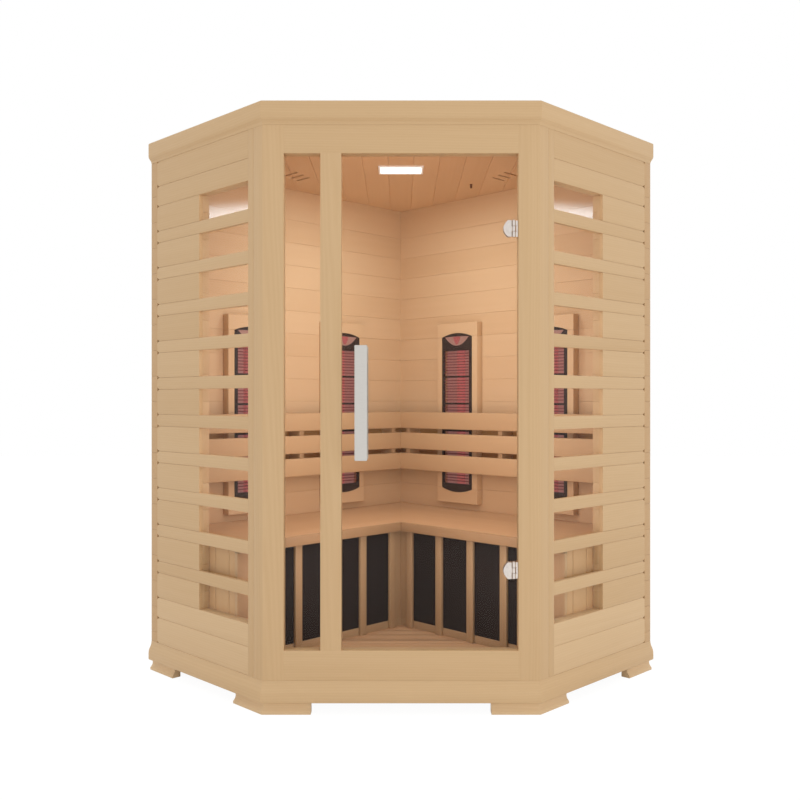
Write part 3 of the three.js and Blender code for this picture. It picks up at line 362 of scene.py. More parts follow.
class Finish:
    """One material, or the world's background, under construction."""

    def __init__(self, name, library=bpy.data.materials):
        self.owner = library.new(name)
        self.owner.use_nodes = True
        self.tree = self.owner.node_tree
        self.tree.nodes.clear()

    def node(self, kind, settings=None, inputs=None, output=0):
        node = self.tree.nodes.new(kind)
        for name, setting in (settings or {}).items():
            setattr(node, name, setting)
        for name, value in (inputs or {}).items():
            if isinstance(value, Value):
                self.tree.links.new(value.socket, node.inputs[name])
            else:
                node.inputs[name].default_value = value
        return Value(self, node.outputs[output]) if node.outputs else self.owner

    def mix(self, share, first, second):
        settings = {"data_type": "RGBA", "clamp_factor": False}
        return self.node("ShaderNodeMix", settings, {0: share, 6: first, 7: second}, 2)

    def noise(self, place, scale, detail=2.0):
        inputs = {"Vector": place, "Scale": scale, "Detail": detail}
        return self.node("ShaderNodeTexNoise", {}, inputs, "Fac")

    def stretched(self, place, scale):
        return self.node("ShaderNodeVectorMath", {"operation": "MULTIPLY"}, {0: place, 1: scale})

    def parts(self, place):
        value = self.node("ShaderNodeSeparateXYZ", {}, {0: place})
        return [Value(self, socket) for socket in value.socket.node.outputs]

    def object_place(self):
        return self.node("ShaderNodeTexCoord", output="Object")

    def bump(self, height, strength, distance):
        return self.node(
            "ShaderNodeBump", {}, {"Height": height, "Strength": strength, "Distance": distance}
        )

    def done(self, surface):
        return self.node("ShaderNodeOutputMaterial", {}, {"Surface": surface})

    def principled(self, inputs):
        return self.done(self.node("ShaderNodeBsdfPrincipled", {}, inputs))


print("pale wood as linear colour", [round(c, 3) for c in srgb(203, 171, 128)])

# %% [markdown]
# ## Wood
# The cabin is planed softwood: pale outside, warmer inside, with a faint grain. The year rings are a
# sine of the distance from the pith, which wobbles a little along the trunk. Streaks and fibres are
# noise that is drawn out along the grain. Every board mixes its pale and its deep colour by the sum.

# %% Wood finishes
RING_PITCH = 0.0075


def board_place(finish):
    """A board's place in the tree and its tone, which its points carry."""
    grain = finish.node("ShaderNodeAttribute", {"attribute_name": "grain"}, output="Vector")
    return grain, finish.node("ShaderNodeAttribute", {"attribute_name": "tone"}, output="Fac")


def ceiling_place(finish):
    """The same for the ceiling, one solid whose 92 mm boards run from front to back: each board takes a
    chance number from its place in the row. Its edges are paler by the 40th power of their distance from
    its middle, painted light that fills the shade of the seams, and all are paler towards the back, painted
    light where the lamps reach less."""
    x, y, z = finish.parts(finish.object_place())
    number = (x / 0.092 + 0.5).floor()
    edge = (x / 0.046) - number * 2
    chance = finish.node("ShaderNodeTexWhiteNoise", {"noise_dimensions": "1D"}, {"W": number}, "Value")
    grain = finish.node(
        "ShaderNodeCombineXYZ", {},
        {0: y + chance * 40, 1: x - number * 0.092 + chance * 0.08 - 0.04, 2: z + chance * 0.05 - 1.77},
    )
    # Painted light: paler seam edges fill the shade of the grooves, and the back is paler where the lamps
    # reach less.
    return grain, chance * 2 - 1 - (edge * edge) ** 20 * 8 - (y + 0.15) * 13


def wood(name, pale, deep, roughness=0.52, where=board_place):
    """Shade = tone + rings + streaks + fibres, mixed from the pale colour to the deep one."""
    finish = Finish(name)
    grain, tone = where(finish)
    along, across, depth = finish.parts(grain)
    wobble = finish.noise(finish.stretched(grain, (1.6, 16, 16)), 1.0)
    distance = (across * across + depth * depth) ** 0.5 + wobble * 0.014
    rings = (distance * (2 * pi / RING_PITCH)).sine()
    streaks = finish.noise(finish.stretched(grain, (0.8, 55, 55)), 1.0, 3.0)
    fibres = finish.noise(finish.stretched(grain, (7, 520, 520)), 1.0, 2.0)
    shade = 0.3 + tone * 0.1 + rings * 0.045 + streaks * 0.25 + fibres * 0.15
    relief = finish.bump(fibres + rings * 0.25, 0.18, 0.0004)
    return finish.principled({
        "Base Color": finish.mix(shade, pale, deep),
        "Roughness": roughness - 0.08 + fibres * 0.16,
        "Specular IOR Level": 0.35,
        "Normal": relief,
    })


shell_wood = wood("shell_wood", srgb(219, 188, 147), srgb(193, 157, 112))
lining_wood = wood("lining_wood", srgb(221, 192, 154), srgb(197, 161, 119))
bench_wood = wood("bench_wood", srgb(217, 180, 138), srgb(193, 150, 108))
back_wood = wood("back_wood", srgb(206, 175, 135), srgb(182, 146, 106))
end_wood = wood("end_wood", srgb(224, 182, 134), srgb(200, 152, 104))
# Painted shade: the guard under the bench is a darker copy of the bench wood, for the shade of the bench
# above it.
guard_painted_shade_wood = wood("guard_painted_shade_wood", srgb(177, 152, 116), srgb(157, 126, 91))
floor_wood = wood("floor_wood", srgb(207, 171, 130), srgb(176, 134, 97))
ceiling_wood = wood("ceiling_wood", srgb(210, 174, 132), srgb(186, 144, 101), where=ceiling_place)
print("wood finishes", [m.name for m in bpy.data.materials if "wood" in m.name])

# %% [markdown]
# ## Floor boards
# The floor is laid from left to right. Each 60 mm board is a strip of the five-sided plan, cut by the
# two side walls and the two rear walls, and carried through its thickness, which softens its top edges
# into the V-groove of each seam.

# %% Floor
FLOOR_BOARD = 60
FLOOR_GROOVE = 6.0
GROOVE = 1.7
ARRIS = 1.5
WIDE_ARRIS = 4.0
INTO_SIDES = [np.array([side, -1]) * DIAGONAL for side in (-1, 1)]
INTO_REARS = [np.array([side, 1]) * DIAGONAL for side in (-1, 1)]


def plan_strip(u0, u1, v0, v1, inset):
    """A rectangle of the plan, trimmed by the side and rear walls, each moved in by the inset."""
    strip = rectangle(u0, u1, v0, v1)
    for direction in INTO_SIDES:
        strip = trimmed(strip, direction, FRONT_HALF * DIAGONAL - inset)
    for direction in INTO_REARS:
        strip = trimmed(strip, direction, BACK * DIAGONAL - inset)
    return strip


low, high = FRONT.extent("floor_deck")
floor = Piece("floor_boards", FRONT)
for near in np.arange(low[1], high[1] - 1, FLOOR_BOARD):
    strip = plan_strip(low[0], high[0], near, min(near + FLOOR_BOARD, high[1]), low[1])
    floor.add(carried(eased(strip, WIDE_ARRIS), low[2], high[2], FLOOR_GROOVE), along="p")
floor.finish(floor_wood, "floor_wood", "floor_deck")
print(made[-1])

# %% [markdown]
# ## Walls of boards
# The rear walls and the lining of the side walls are 92 mm boards laid level, and all their seams line
# up round the room. A rear wall has two layers, and short end blocks that show beside the side walls.
# Inside, its boards behind the backrests get a much deeper tone, painted shade so that the gaps there look
# deep.
# Outside, the side walls have wide and narrow boards by turns. The narrow ones run on across the window
# as its slats, the wide ones stop behind it, and all end in a stile.

# %% Walls
FIRST_SEAM = 140
WALL_BOARD = 92
SLAT = 42
SLAT_COUNT = 10
BOARDS_BELOW = (194.5,)
BOARDS_ABOVE = (1738,)
PANE_LAP = 12
CLADDING_ARRIS = 2.0
# Painted shade: rows 7 and 8, behind the backrests, take a deep tone so the gaps between the boards look
# dark.
PAINTED_SHADE_ROW_TONES = {7: 12, 8: 12}
# Painted light: the cladding boards below the window take a paler tone, for the light that the floor throws
# up.
END_TONE, PAINTED_LIGHT_LOW_TONE = 4, -3
NOTCH, NOTCH_LENGTH = 6, 11
POST_GROOVE = 1.5

WALL_LEVELS = [FLOOR_TOP, *np.arange(FIRST_SEAM, WALL_TOP - WALL_BOARD / 2, WALL_BOARD), WALL_TOP]
pane_low, pane_high = LEFT.extent("left_window_glass")
WINDOW = rectangle(
    pane_low[1] + PANE_LAP, pane_high[1] - PANE_LAP, pane_low[2] + PANE_LAP, pane_high[2] - PANE_LAP
)
(WINDOW_REAR, WINDOW_BOTTOM), (WINDOW_FRONT, WINDOW_TOP) = WINDOW[0], WINDOW[2]


def row_round_window(q0, q1, bottom, top):
    """Outlines of one row of boards: whole, or in two where the window interrupts it."""
    if top <= WINDOW_BOTTOM or bottom >= WINDOW_TOP:
        return [rectangle(q0, q1, bottom, top)]
    return [rectangle(q0, WINDOW_REAR, bottom, top), rectangle(WINDOW_FRONT, q1, bottom, top)]


def notched(section, start, end):
    """A board whose first end narrows from above and below, so that a dark pit ends each seam there."""
    upwards = np.sign(section[:, [1]] - section[:, 1].mean())
    narrow = section - np.hstack([0 * upwards, NOTCH * upwards])
    stations = ((narrow, start), (section, start + NOTCH_LENGTH), (section, end))
    rings = [np.insert(outline, 2, place, 1) for outline, place in stations]
    return lofted(np.array(rings))


LINING_LEVELS = sorted({*WALL_LEVELS, WINDOW_BOTTOM, WINDOW_TOP})
slat_gap = (WINDOW_TOP - WINDOW_BOTTOM - SLAT_COUNT * SLAT) / (SLAT_COUNT + 1)
slat_bottoms = WINDOW_BOTTOM + slat_gap + np.arange(SLAT_COUNT) * (SLAT + slat_gap)
slat_levels = np.stack([slat_bottoms, slat_bottoms + SLAT], 1).ravel()
CLADDING_LEVELS = [
    FLOOR_TOP, *BOARDS_BELOW, WINDOW_BOTTOM, *slat_levels, WINDOW_TOP, *BOARDS_ABOVE, WALL_TOP,
]

for side, placement in SIDES.items():
    node = f"rear_{side}_wall"
    low, high = placement.extent(node)
    wall = Piece(f"{node}_boards", placement)
    joint = placement.extent(f"{side}_wall_panel")[0][0] + GROOVE
    middle = (low[1] + high[1]) / 2
    for row, (bottom, top) in enumerate(pairwise(WALL_LEVELS)):
        face = eased(rectangle(max(low[0] - GROOVE, 0), joint, bottom, top), ARRIS)
        # Painted shade: the inner boards behind the backrests are darker.
        wall.add(carried(face, middle, high[1], GROOVE), "pzq", along="p", tone=PAINTED_SHADE_ROW_TONES.get(row))
        wall.add(carried(face, low[1], middle, GROOVE), "pzq", along="p")
        end = eased(rectangle(joint, high[0], bottom, top), ARRIS)
        wall.add(carried(end, low[1], high[1], GROOVE), "pzq", along="p", tone=END_TONE)
    wall.finish(lining_wood, "lining_wood", node)

    node = f"{side}_wall_panel"
    low, high = placement.extent(node)
    lining = Piece(f"{node}_boards", placement)
    for bottom, top in pairwise(LINING_LEVELS):
        for face in row_round_window(low[1], high[1], bottom, top):
            lining.add(carried(eased(face, ARRIS), low[0], high[0], GROOVE), "qzp", along="q")
    lining.finish(lining_wood, "lining_wood", node)

    node = f"{side}_cladding"
    low, high = placement.extent(node)
    cladding = Piece(f"{node}_boards", placement)
    for bottom, top in pairwise(CLADDING_LEVELS):
        beside_window = top - bottom > SLAT + 1 and WINDOW_BOTTOM <= bottom < WINDOW_TOP
        end = WINDOW_REAR if beside_window else WINDOW_FRONT
        section = eased(rectangle(low[0], high[0], bottom, top), CLADDING_ARRIS)
        # Painted light: boards below the window are paler.
        tone = PAINTED_LIGHT_LOW_TONE if top <= WINDOW_BOTTOM else None
        cladding.add(notched(section, low[1], end), "pzq", along="q", tone=tone)
    stile = trimmed(
        rectangle(low[0], high[0], WINDOW_FRONT, high[1]), (1, 1), high[0] + high[1] - POST_GROOVE
    )
    cladding.add(carried(eased(stile, 0.5), FLOOR_TOP, WALL_TOP, 0.5))
    cladding.finish(shell_wood, "shell_wood", node)
print(made[-6:])

# %% [markdown]
# ## The front frame
# Two angled corner posts, a mullion and two rails frame the side light and the door. The posts are a
# plan outline carried upwards. The rails lie between them, so their grain runs across.

# %% Posts, mullion and rails
FRAME_ARRIS = 0.6
JOINT = 0.2
TENON = 0.5
POST_RETURN = 47
WALL = FRONT.extent("sill_rail")[1][1]
POST_INNER = FRONT.extent("right_corner_post")[0][0]
MITRE = tan(pi / 8)

for side, sign in (("left", -1), ("right", 1)):
    node = f"{side}_corner_post"
    along_side, inward = POST_RETURN * DIAGONAL, WALL * DIAGONAL
    plan = np.array([
        (POST_INNER, 0), (FRONT_HALF, 0), (FRONT_HALF + along_side, along_side),
        (FRONT_HALF + along_side - inward, along_side + inward), (FRONT_HALF - WALL * MITRE, WALL),
        (POST_INNER, WALL),
    ])
    post = Piece(f"{node}_wood", FRONT)
    post.add(carried(eased(plan * (sign, 1), FRAME_ARRIS), FLOOR_TOP, WALL_TOP, JOINT), tone=0)
    post.finish(shell_wood, "shell_wood", node)

for node, order, along in (("mullion", "pqz", "z"), ("head_rail", "qzp", "p"), ("sill_rail", "qzp", "p")):
    low, high = FRONT.extent(node)
    u, v, w = (AXES.index(axis) for axis in order)
    bar = Piece(f"{node}_wood", FRONT)
    section = eased(rectangle(low[u], high[u], low[v], high[v]), FRAME_ARRIS)
    bar.add(carried(section, low[w] - TENON, high[w] + TENON, JOINT), order, along, tone=0)
    bar.finish(shell_wood, "shell_wood", node)
print(made[-5:])

# %% [markdown]
# ## Mouldings
# The cornice and the plinth are the cabin's two profiles. A moulding is its profile carried along the
# wall, and at a front corner it grows with its distance from the wall, by the tangent of half the turn,
# so neighbours meet in a mitre. Below the plinth's nose only the bracket feet go on.

# %% Cornice and plinth
MITRE_GAP = 0.1
MOULDING_ARRIS = 1.6
# Painted light: the bracket feet take a paler tone, for the light that the floor throws up onto them.
FOOT_LENGTH, PAINTED_LIGHT_FOOT_TONE = 150, -5
CORNICE = np.concatenate([
    [(-14, 1827)], ogee((0, 1827), (12, 1853)), [(12, 1896), (8, 1900), (-14, 1900), (-14, 1888)],
    [(-26, 1888), (-26, 1847), (-14, 1847)],
])
PLINTH = np.concatenate([
    [(-28, 37)], curve((7, 37), (12, 37), (12, 42), 3), ogee((12, 60), (0, 104)),
    [(-10, 104), (-10, 64), (-28, 64)],
])
FOOT = np.concatenate([[(-28, 0), (5, 0)], curve((5, 8), (-12, 22.5), (0, 37)), [(-28, 37)]])


def front_moulding(piece, profile, start=None, end=None, tone=None):
    """A profile of (outward, height) along the front: outward is -q, and a free end is mitred."""
    section = eased(profile * (-1, 1), MOULDING_ARRIS)
    reach = FRONT_HALF - MITRE_GAP
    start = (-reach, MITRE, 0) if start is None else start
    end = (reach, -MITRE, 0) if end is None else end
    piece.add(carried(section, start, end, 0.5), "qzp", along="p", tone=tone)


def side_moulding(piece, profile, start, end=None, tone=None):
    """A profile along a side wall: outward is p beyond the wall, and the front end is mitred."""
    section = eased(profile + (REAR_LENGTH, 0), MOULDING_ARRIS)
    reach = SIDE_LENGTH - MITRE_GAP - MITRE * REAR_LENGTH
    end = (reach, MITRE, 0) if end is None else end
    piece.add(carried(section, start, end, 0.5), "pzq", along="q", tone=tone)


cornice = Piece("front_cornice_moulding", FRONT)
front_moulding(cornice, CORNICE)
cornice.finish(shell_wood, "shell_wood", "front_cornice")
plinth = Piece("front_plinth_moulding", FRONT)
front_moulding(plinth, PLINTH)
front_moulding(plinth, FOOT, end=FOOT_LENGTH - FRONT_HALF, tone=PAINTED_LIGHT_FOOT_TONE)
front_moulding(plinth, FOOT, start=FRONT_HALF - FOOT_LENGTH, tone=PAINTED_LIGHT_FOOT_TONE)
plinth.finish(shell_wood, "shell_wood", "front_plinth")
for side, placement in SIDES.items():
    cornice = Piece(f"{side}_cornice_moulding", placement)
    side_moulding(cornice, CORNICE, 0)
    cornice.finish(shell_wood, "shell_wood", f"{side}_cornice")
    plinth = Piece(f"{side}_plinth_moulding", placement)
    side_moulding(plinth, PLINTH, 0)
    side_moulding(plinth, FOOT, 0, FOOT_LENGTH, PAINTED_LIGHT_FOOT_TONE)
    side_moulding(plinth, FOOT, SIDE_LENGTH - FOOT_LENGTH, tone=PAINTED_LIGHT_FOOT_TONE)
    plinth.finish(shell_wood, "shell_wood", f"{side}_plinth")

REAR_PLINTH = np.array([(0, 37), (28, 37), (28, 64), (10, 64), (10, 104), (0, 104)], float)
REAR_FOOT, REAR_LIP = rectangle(0, 28, 0, 37), rectangle(0, 10, 64, 104)
rear_end = LEFT.extent("rear_plinth")[1][0]
rear = Piece("rear_plinth_boards", LEFT)
for order, along, start in (("qzp", "p", 0), ("pzq", "q", 28)):
    rear.add(carried(eased(REAR_PLINTH, 1), start, rear_end, 0.5), order, along)
    rear.add(carried(eased(REAR_LIP, 1), rear_end, REAR_LENGTH - 10.3, 0.5), order, along)
    rear.add(carried(eased(REAR_FOOT, 1), start, FOOT_LENGTH, 0.5), order, along)
    rear.add(carried(eased(REAR_FOOT, 1), rear_end - FOOT_LENGTH, rear_end, 0.5), order, along)
rear.finish(shell_wood, "shell_wood", "rear_plinth")
print(made[-7:])

# %% [markdown]
# ## Bench
# The corner bench is two halves of five boards, mitred at the back corner: each board is a strip of the
# plan, trimmed by the diagonal. Below it stand upright slats on a low frame, whose bays show the carbon
# panels, and boards with open seams close each end.

# %% Bench, guards and end panels
BENCH_BOARD = 96
GUARD_SLAT, GUARD_SLAT_WIDTH, GUARD_PITCH = 12, 30, 152
GUARD_FIRST = 42.5
GUARD_BOTTOM_RAIL, GUARD_TOP_RAIL = 28, 5
NOSING, NOSING_SHADE_TONE = 8, 5
END_BOARD, END_SEAM = 78, 2.4
PAST_MITRE = np.array([-1, 1]) * DIAGONAL


def plank(piece, p0, p1, q0, q1, z0, z1, along, ease=2.0, mitred=False, tone=None):
    """A straight board with softened edges all round, which stops at the corner's diagonal if mitred."""
    plan = rectangle(p0, p1, q0, q1)
    if mitred:
        plan = trimmed(plan, PAST_MITRE, -MITRE_GAP)
    piece.add(carried(eased(plan, ease), z0, z1, ease), along=along, tone=tone)


for side, placement in SIDES.items():
    node = f"{side}_bench_top"
    low, high = placement.extent(node)
    top = Piece(f"{node}_boards", placement)
    for near in np.arange(low[1], high[1] - 1, BENCH_BOARD):
        far = min(near + BENCH_BOARD, high[1] - NOSING)
        plank(top, low[0], high[0], near, far, low[2], high[2], "p", 1.2, True)
    top.finish(bench_wood, "bench_wood", node)
    # Painted shade: the bench's front edge takes the shaded guard wood and a deeper tone still.
    nosing = Piece(f"{side}_bench_nosing", placement)
    span = (low[0], high[0], high[1] - NOSING, high[1], low[2], high[2])
    plank(nosing, *span, "p", 3.0, True, NOSING_SHADE_TONE)
    nosing.finish(guard_painted_shade_wood, "bench_wood")

    node = f"{side}_bench_guard"
    low, high = placement.extent(node)
    face = high[1] - GUARD_SLAT
    bay_bottom, bay_top = low[2] + GUARD_BOTTOM_RAIL, high[2] - GUARD_TOP_RAIL
    centres = np.arange(high[1] + GUARD_FIRST, high[0] - GUARD_SLAT_WIDTH, GUARD_PITCH)
    half = GUARD_SLAT_WIDTH / 2
    guard = Piece(f"{node}_slats", placement)
    plank(guard, low[0], high[0], low[1], face, low[2], bay_bottom, "p", 1.0, True)
    plank(guard, low[0], high[0], low[1], face, bay_top, high[2], "p", 1.0, True)
    plank(guard, low[0], centres[0], low[1], face, bay_bottom, bay_top, "z", 1.0, True)
    for centre in centres:
        plank(guard, centre - half, centre + half, face, high[1], low[2], high[2], "z", 2.0)
    guard.finish(guard_painted_shade_wood, "bench_wood", node)
    # The guard's end, lit through the window, keeps the paler bench wood.
    guard_end = Piece(f"{side}_guard_end", placement)
    plank(guard_end, centres[-1], high[0], low[1], face, bay_bottom, bay_top, "z", 1.0)
    guard_end.finish(bench_wood, "bench_wood")

    node = f"{side}_bench_end_panel"
    low, high = placement.extent(node)
    end_panel = Piece(f"{node}_boards", placement)
    for near in np.arange(low[1], high[1] - 1, END_BOARD):
        far = min(near + END_BOARD - END_SEAM, high[1])
        board = eased(rectangle(near, far, low[2], high[2]), ARRIS)
        end_panel.add(carried(board, low[0], high[0], ARRIS), "qzp", along="z")
    end_panel.finish(end_wood, "bench_wood", node)
print(made[-6:])

# %% [markdown]
# ## Backrests
# Three boards on upright battens stand off each rear wall. A board is its rounded section carried along
# the wall from the corner's diagonal, where its end slants by one millimetre for each millimetre across.

# %% Backrests
BACK_BOARD = 71
BACK_PITCH = 90
BACK_THICKNESS = 18
BATTEN = 22
BATTENS = (150, 668, 1175.7)

for side, placement in SIDES.items():
    node = f"{side}_backrest"
    low, high = placement.extent(node)
    back = Piece(f"{node}_boards", placement)
    for bottom in np.arange(low[2], high[2] - 1, BACK_PITCH):
        section = eased(rectangle(high[1] - BACK_THICKNESS, high[1], bottom, bottom + BACK_BOARD), 5)
        back.add(carried(section, (MITRE_GAP, 1, 0), high[0], 0.3), "qzp", along="p")
    for centre in BATTENS:
        span = (centre - BATTEN / 2, centre + BATTEN / 2, low[1], high[1] - BACK_THICKNESS)
        plank(back, *span, low[2], high[2], "z", 1.5)
    back.finish(back_wood, "bench_wood", node)
print(made[-2:])

# %% [markdown]
# ## Dark metal, carbon and plastic
# Painted metal is never quite even: a fine noise moves its roughness and gives it a faint orange-peel
# bump. The carbon heating sheet is a plain weave: two sines at right angles, one for each thread. On both
# panels x grows by the same share of the length, so x alone follows the weft.

# %% Dark finishes
THREAD = 0.003


def speckled(name, first, second, scale, inputs, roughness=0.45, relief=0.00015):
    """A noise mixes two close colours and moves the roughness, and a finer one gives the bump."""
    finish = Finish(name)
    place = finish.object_place()
    patches = finish.noise(place, scale, 4.0)
    grains = finish.noise(place, scale * 9, 1.0)
    return finish.principled({
        "Base Color": finish.mix(patches, first, second),
        "Roughness": roughness - 0.1 + patches * 0.2,
        "Normal": finish.bump(grains, 0.25, relief),
        **inputs,
    })


def carbon_weave(name):
    """Threads = sine of the length times sine of the height; the raised ones are lighter and glossier."""
    finish = Finish(name)
    place = finish.object_place()
    x, y, z = finish.parts(place)
    weave = (x * (sqrt(2) * pi / THREAD)).sine() * (z * (pi / THREAD)).sine()
    cloud = finish.noise(place, 6.0, 3.0)
    share = weave * 0.2 + cloud * 0.6 + 0.2
    return finish.principled({
        "Base Color": finish.mix(share, srgb(29, 23, 22), srgb(42, 35, 32)),
        "Roughness": 0.72 - weave * 0.08,
        "Specular IOR Level": 0.2,
        "Normal": finish.bump(weave, 0.3, 0.0006),
    })


heater_black = speckled("heater_black", srgb(42, 33, 32), srgb(56, 45, 43), 60, {"Metallic": 0.1})
louvre_red = speckled("louvre_red", srgb(118, 62, 60), srgb(136, 76, 72), 60, {"Metallic": 0.1})
dark_plastic = speckled("dark_plastic", srgb(48, 46, 44), srgb(60, 58, 56), 45, {})
sensor_brown = speckled("sensor_brown", srgb(92, 56, 36), srgb(108, 68, 44), 45, {})
speaker_cloth = speckled("speaker_cloth", srgb(132, 90, 64), srgb(150, 104, 76), 300, {}, 0.8)
carbon_sheet = carbon_weave("carbon_sheet")
dark = (heater_black, louvre_red, dark_plastic, sensor_brown, speaker_cloth, carbon_sheet)
print("dark finishes", [finish.name for finish in dark])

for side, placement in SIDES.items():
    node = f"{side}_carbon_panel"
    low, high = placement.extent(node)
    sheet_top = placement.extent(f"{side}_bench_guard")[1][2] - GUARD_TOP_RAIL - MITRE_GAP
    sheet = Piece(f"{side}_carbon_sheet", placement)
    plank(sheet, low[0], high[0], low[1], high[1], low[2], sheet_top, "p", 0.5)
    sheet.finish(carbon_sheet, "carbon_sheet", node)

# %% [markdown]
# ## Glowing finishes
# A heater's element and the ceiling lamp send out their own light. The element's tube is brighter than
# the plate behind it, which its tone says, and its red is a little uneven from end to end. The plate's dim
# glow is painted light, for the tube's light that it mirrors. The lamp's diffuser is evenly bright, with a
# faint noise.

# %% Glowing finishes
def glowing(name, dim, bright, strength, unevenness=0.25):
    """Emission mixed from the dim colour to the bright one by the shell's tone and a slow noise."""
    finish = Finish(name)
    tone = finish.node("ShaderNodeAttribute", {"attribute_name": "tone"}, output="Fac")
    cloud = finish.noise(finish.object_place(), 9.0, 2.0)
    colour = finish.mix(tone * 0.5 + 0.5 + (cloud - 0.5) * unevenness, dim, bright)
    return finish.principled({
        "Base Color": colour,
        "Roughness": 0.5,
        "Emission Color": colour,
        "Emission Strength": strength,
    })


heater_glow = glowing("heater_glow", srgb(168, 116, 110), srgb(186, 102, 100), 0.34)
lens_glow = glowing("lens_glow", srgb(148, 112, 102), srgb(150, 78, 78), 0.2)
lamp_glow = glowing("lamp_glow", srgb(255, 244, 230), srgb(255, 252, 246), 1.6, 0.1)
print("glowing finishes", heater_glow.name, lens_glow.name, lamp_glow.name)

# %% [markdown]
# ## Wall heaters
# Four tall heaters hang on the rear walls. Each has a wooden casing of two stiles and two bowed rails, a
# black housing with a half-moon window above five bays of bars, and a glowing tube on its reflector. The
# openings of the housing are left between its parts: side bars, end plates, heavy bars and thin louvres.

# %% Heaters
HEATER_HALF = 82.5
HEATER_BOTTOM, HEATER_TOP = 584, 1256
BOW = 16
LENS_HALF, LENS_LEVEL, LENS_DROP, LENS_CROWN = 68, 1241, 38, 2
SHOULDER = 1234
GRILLE_HALF, GRILLE_BOTTOM, GRILLE_TOP = 69, 620, 1182
BAYS, LOUVRES = 5, 9
HEAVY_BAR, LOUVRE_BAR = 8, 4
LOUVRE_SETBACK = 2.0
TUBE_RADIUS = 20
RAIL_LOW, RAIL_HIGH = HEATER_BOTTOM + BOW, HEATER_TOP - BOW

bay_height = (GRILLE_TOP - GRILLE_BOTTOM - (BAYS - 1) * HEAVY_BAR) / BAYS
bay_bottoms = GRILLE_BOTTOM + np.arange(BAYS) * (bay_height + HEAVY_BAR)
louvre_steps = (np.arange(LOUVRES - 1) + 1) * bay_height / LOUVRES
louvre_levels = (bay_bottoms[:, None] + louvre_steps).ravel()


def bowed(half, level, rise, steps=14):
    """The curve across a heater from right to left, which rises by that much in its middle."""
    return curve((half, level), (0, level + 2 * rise), (-half, level), steps)


LENS_FOOT = curve((LENS_HALF, LENS_LEVEL), (0, LENS_LEVEL - 2 * LENS_DROP), (-LENS_HALF, LENS_LEVEL), 14)
LENS_BROW = bowed(LENS_HALF, LENS_LEVEL, LENS_CROWN)
BAND = np.concatenate([
    [(-HEATER_HALF, GRILLE_TOP), (HEATER_HALF, GRILLE_TOP), (HEATER_HALF, SHOULDER)],
    LENS_FOOT, [(-HEATER_HALF, SHOULDER)],
])
CAP = np.concatenate([
    [(-HEATER_HALF, SHOULDER)], LENS_BROW[::-1], [(HEATER_HALF, SHOULDER)],
    bowed(HEATER_HALF, RAIL_HIGH, BOW),
])
SOLE = np.concatenate([
    bowed(HEATER_HALF, RAIL_LOW, -BOW)[::-1], [(HEATER_HALF, GRILLE_BOTTOM), (-HEATER_HALF, GRILLE_BOTTOM)],
])
LENS = np.concatenate([LENS_FOOT[::-1][1:-1] * (0.995, 1), bowed(LENS_HALF, LENS_LEVEL, LENS_CROWN)])
PUPIL = (LENS - (0, LENS_LEVEL - 4)) * (0.3, 0.85) + (0, LENS_LEVEL - 4)
PLATE = np.concatenate([
    bowed(HEATER_HALF - 0.5, RAIL_LOW, -BOW)[::-1], bowed(HEATER_HALF - 0.5, RAIL_HIGH, BOW),
])


